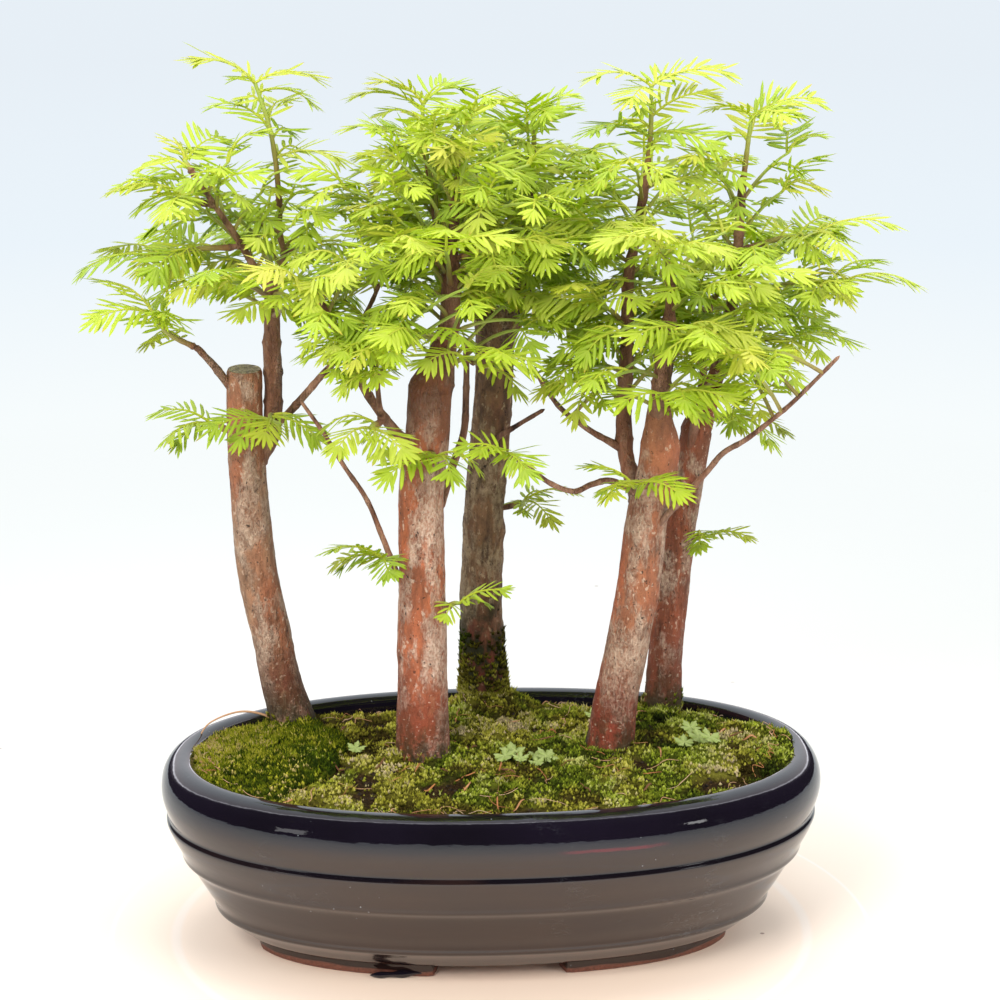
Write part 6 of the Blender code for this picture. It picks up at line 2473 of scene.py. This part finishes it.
    def build(self) -> None:
        """Makes a piece for each shoot and one for the leaders of each tree."""
        needle = Leaf().build()
        wood = np.concatenate([self.growth.tree_rods(tree) for tree in range(len(TREES))])
        placed = self.growth.placed()
        total, stems = 0, Skin()
        for index, shoot in enumerate(SHOOTS):
            draw = np.random.default_rng(self.seed + index)
            course = self.growth.stem_course(shoot)
            sprays = [spray for spray in placed if spray.owner == index]
            sprays += self.side_sprays(index, course, 5.5, 0.2, wood, draw)
            skin = Skin()
            for spray in sprays:
                self.fine_spray(skin, spray, self.age_and_shade_of(spray, draw), draw)
            total += len(sprays)
            self.stem(stems, course, self.growth.spur_radius)
            skin.build(shoot.name.replace("shoot", "needles"), needle, Slot.FOLIAGE, [shoot.name], 70.0)
        for tree, name in enumerate(NAMES):
            draw = np.random.default_rng(self.seed + 100 + tree)
            skin = Skin()
            for twig, sprays in self.leader_twigs(tree, wood, draw):
                self.stem(stems, twig, 0.72, 9, 5)
                for spray in sprays:
                    # Sprays on the leaders, inside the crowns, are a little deeper green: painted shade.
                    self.fine_spray(skin, spray, self.age_and_shade_of(spray, draw) - 0.06, draw)
                total += len(sprays)
            skin.build(f"leader_needles_{name}", needle, Slot.FOLIAGE, (), 70.0)
        stems.build("green_stems", GreenStem().build(), Slot.FOLIAGE)
        LOG.info("%d sprays", total)


@dataclass
class Studio:
    """The pale floor, the soft lights and the camera.

    Attributes:
        lens: Focal length in millimetres for a 36 mm sensor.
        lamps: Name, place, size and power of each soft light and small pane, in metres and watts.
    """

    eye: tuple = (-82.34, -1239.67, 512.69)
    aim: tuple = (2.9, 3.6, 142.4)
    lens: float = 149.94
    lamps: tuple = (
        ("key", (-0.70, -1.05, 0.95), 0.80, 19.0),
        ("fill", (0.95, -0.75, 0.60), 0.70, 8.0),
        ("top", (0.05, 0.15, 1.45), 0.95, 12.0),
        ("pane_left", (-1.25, -1.10, 0.36), 0.34, 0.60),
        ("pane_right", (1.45, -1.30, 0.62), 0.26, 0.80),
    )
    far: Colour = (0.80, 0.865, 0.925)
    radius: float = 1.62

    @staticmethod
    def stand(name: str, data: Any, place: Vector, aim: Vector) -> bpy.types.Object:
        """Adds a camera or a lamp at a place, turned to the point that it looks at.

        Args:
            name: Its name.
            data: The camera or the light.
            place: Where it stands.
            aim: What it looks at.

        Returns:
            The object.
        """
        made = add_object(name, data)
        made.location = place
        made.rotation_euler = (aim - place).to_track_quat("-Z", "Y").to_euler()
        return made

    def camera(self) -> None:
        """Sets the camera at the photograph's angle."""
        data = bpy.data.cameras.new("camera")
        data.lens = self.lens
        data.sensor_width = 36.0
        data.clip_start = 0.05
        data.clip_end = 20.0
        eye, aim = (Vector(np.array(point) * MM + TRAY_MIDDLE) for point in (self.eye, self.aim))
        bpy.context.scene.camera = self.stand("camera", data, eye, aim)

    def light(self) -> None:
        """Adds the soft lamps, and the small panes whose reflections stand in the lip."""
        aim = Vector(TRAY_MIDDLE) + Vector((0.0, 0.0, 0.13))
        for name, place, size, power in self.lamps:
            data = bpy.data.lights.new(name, "AREA")
            data.shape = "DISK" if size > 0.5 else "SQUARE"
            data.size = size
            data.energy = power
            lamp = self.stand(name, data, Vector(place) + Vector(TRAY_MIDDLE), aim)
            lamp.visible_glossy = size < 0.5

    def floor(self) -> None:
        """Makes a round level floor: warm white at the tray, paler and then bluish, glowing at its edge."""
        rows, columns = 24, 128
        plan = np.stack([np.cos(angles(columns)), np.sin(angles(columns)), np.zeros(columns)], axis=-1)
        points = (np.linspace(0.05, self.radius, rows)[:, None, None] * plan).reshape(-1, 3)
        index = np.arange(rows * columns).reshape(rows, columns)
        after = np.roll(index, -1, axis=1)
        quads = np.stack([index[:-1], index[1:], after[1:], after[:-1]], axis=-1).reshape(-1, 4)
        fan = np.stack([index[0], after[0], np.full(columns, rows * columns)], axis=-1)
        mesh = bpy.data.meshes.new("floor")
        points = np.vstack([points + TRAY_MIDDLE, TRAY_MIDDLE])
        mesh.from_pydata(points.tolist(), [], quads.tolist() + fan.tolist())
        made = Finish("floor")
        x, y, _ = made.axes()
        away = (x ** 2.0 + y ** 2.0) ** 0.5
        near = made.ramp(away / self.radius, (0.04, (0.93, 0.72, 0.56)), (0.075, (0.93, 0.79, 0.67)),
                         (0.12, (0.74, 0.70, 0.65)), (0.30, (0.63, 0.635, 0.62)))
        ring = away.band(0.1215, 0.0009, 0.0) + away.band(0.1010, 0.0022, 0.4) * 0.5
        speck = made.cells(75.0).step(0.075, 0.050) * made.noise(40.0, 2.0).step(0.60, 0.64)
        near = made.coats(near, (ring * 0.45, (0.90, 0.90, 0.89)), (speck * 0.8, (0.28, 0.14, 0.09)))
        made.surface(Base_Color=near, Roughness=0.85)
        glow = made.ramp(away / self.radius, (0.20, (0.94, 0.965, 0.94)), (0.40, (0.93, 0.975, 0.985)),
                         (0.62, (0.83, 0.905, 0.965)), (0.95, self.far))
        shine = made.node("ShaderNodeEmission", sockets={"Color": glow}, output="Emission")
        mesh.materials.append(made.mixed_with(away.step(0.14, 0.62), shine))
        add_object("floor", mesh)

    def sky(self) -> None:
        """Sets the sky: pale to look at and to light by; in the gloss, dark in front and pale behind."""
        world = bpy.data.worlds.new("sky")
        world.use_nodes = True
        bpy.context.scene.world = world
        made = Nodes(world.node_tree)
        back = made.tree.nodes["Background"]
        made.feed(back.inputs["Color"], self.far)
        way = made.node("ShaderNodeTexCoord", output="Generated")
        sockets = {0: way, 1: (0.0, 0.6, 0.8)}
        height = made.node("ShaderNodeVectorMath", {"operation": "DOT_PRODUCT"}, sockets, "Value")
        room = made.ramp(height, (0.10, (0.012, 0.011, 0.016)), (0.58, (0.05, 0.045, 0.06)),
                         (0.64, (0.30, 0.28, 0.33)), (0.665, (3.6, 3.6, 3.9)), (0.70, (1.15, 1.1, 1.16)),
                         (1.0, (1.50, 1.66, 1.78)))
        made.end_in("World Output", made.node("ShaderNodeLightPath", output="Is Glossy Ray"),
                    Field(made, back.outputs[0]), made.node("ShaderNodeBackground", sockets={"Color": room}))

    def build(self) -> None:
        """Sets up the floor, the lights and the camera."""
        bpy.context.scene.view_settings.view_transform = "Standard"
        self.camera()
        self.floor()
        self.light()
        self.sky()


def main() -> None:
    """Builds the studio, the tray, the moss, the trees and the foliage."""
    logging.basicConfig(level=logging.INFO, format="%(name)s %(message)s")
    tray, growth = Tray(), Growth()
    Studio().build()
    tray.build()
    Bed(tray, growth).build()
    Wood(growth).build()
    Needles(growth).build()
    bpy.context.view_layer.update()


if __name__ == "__main__":
    main()
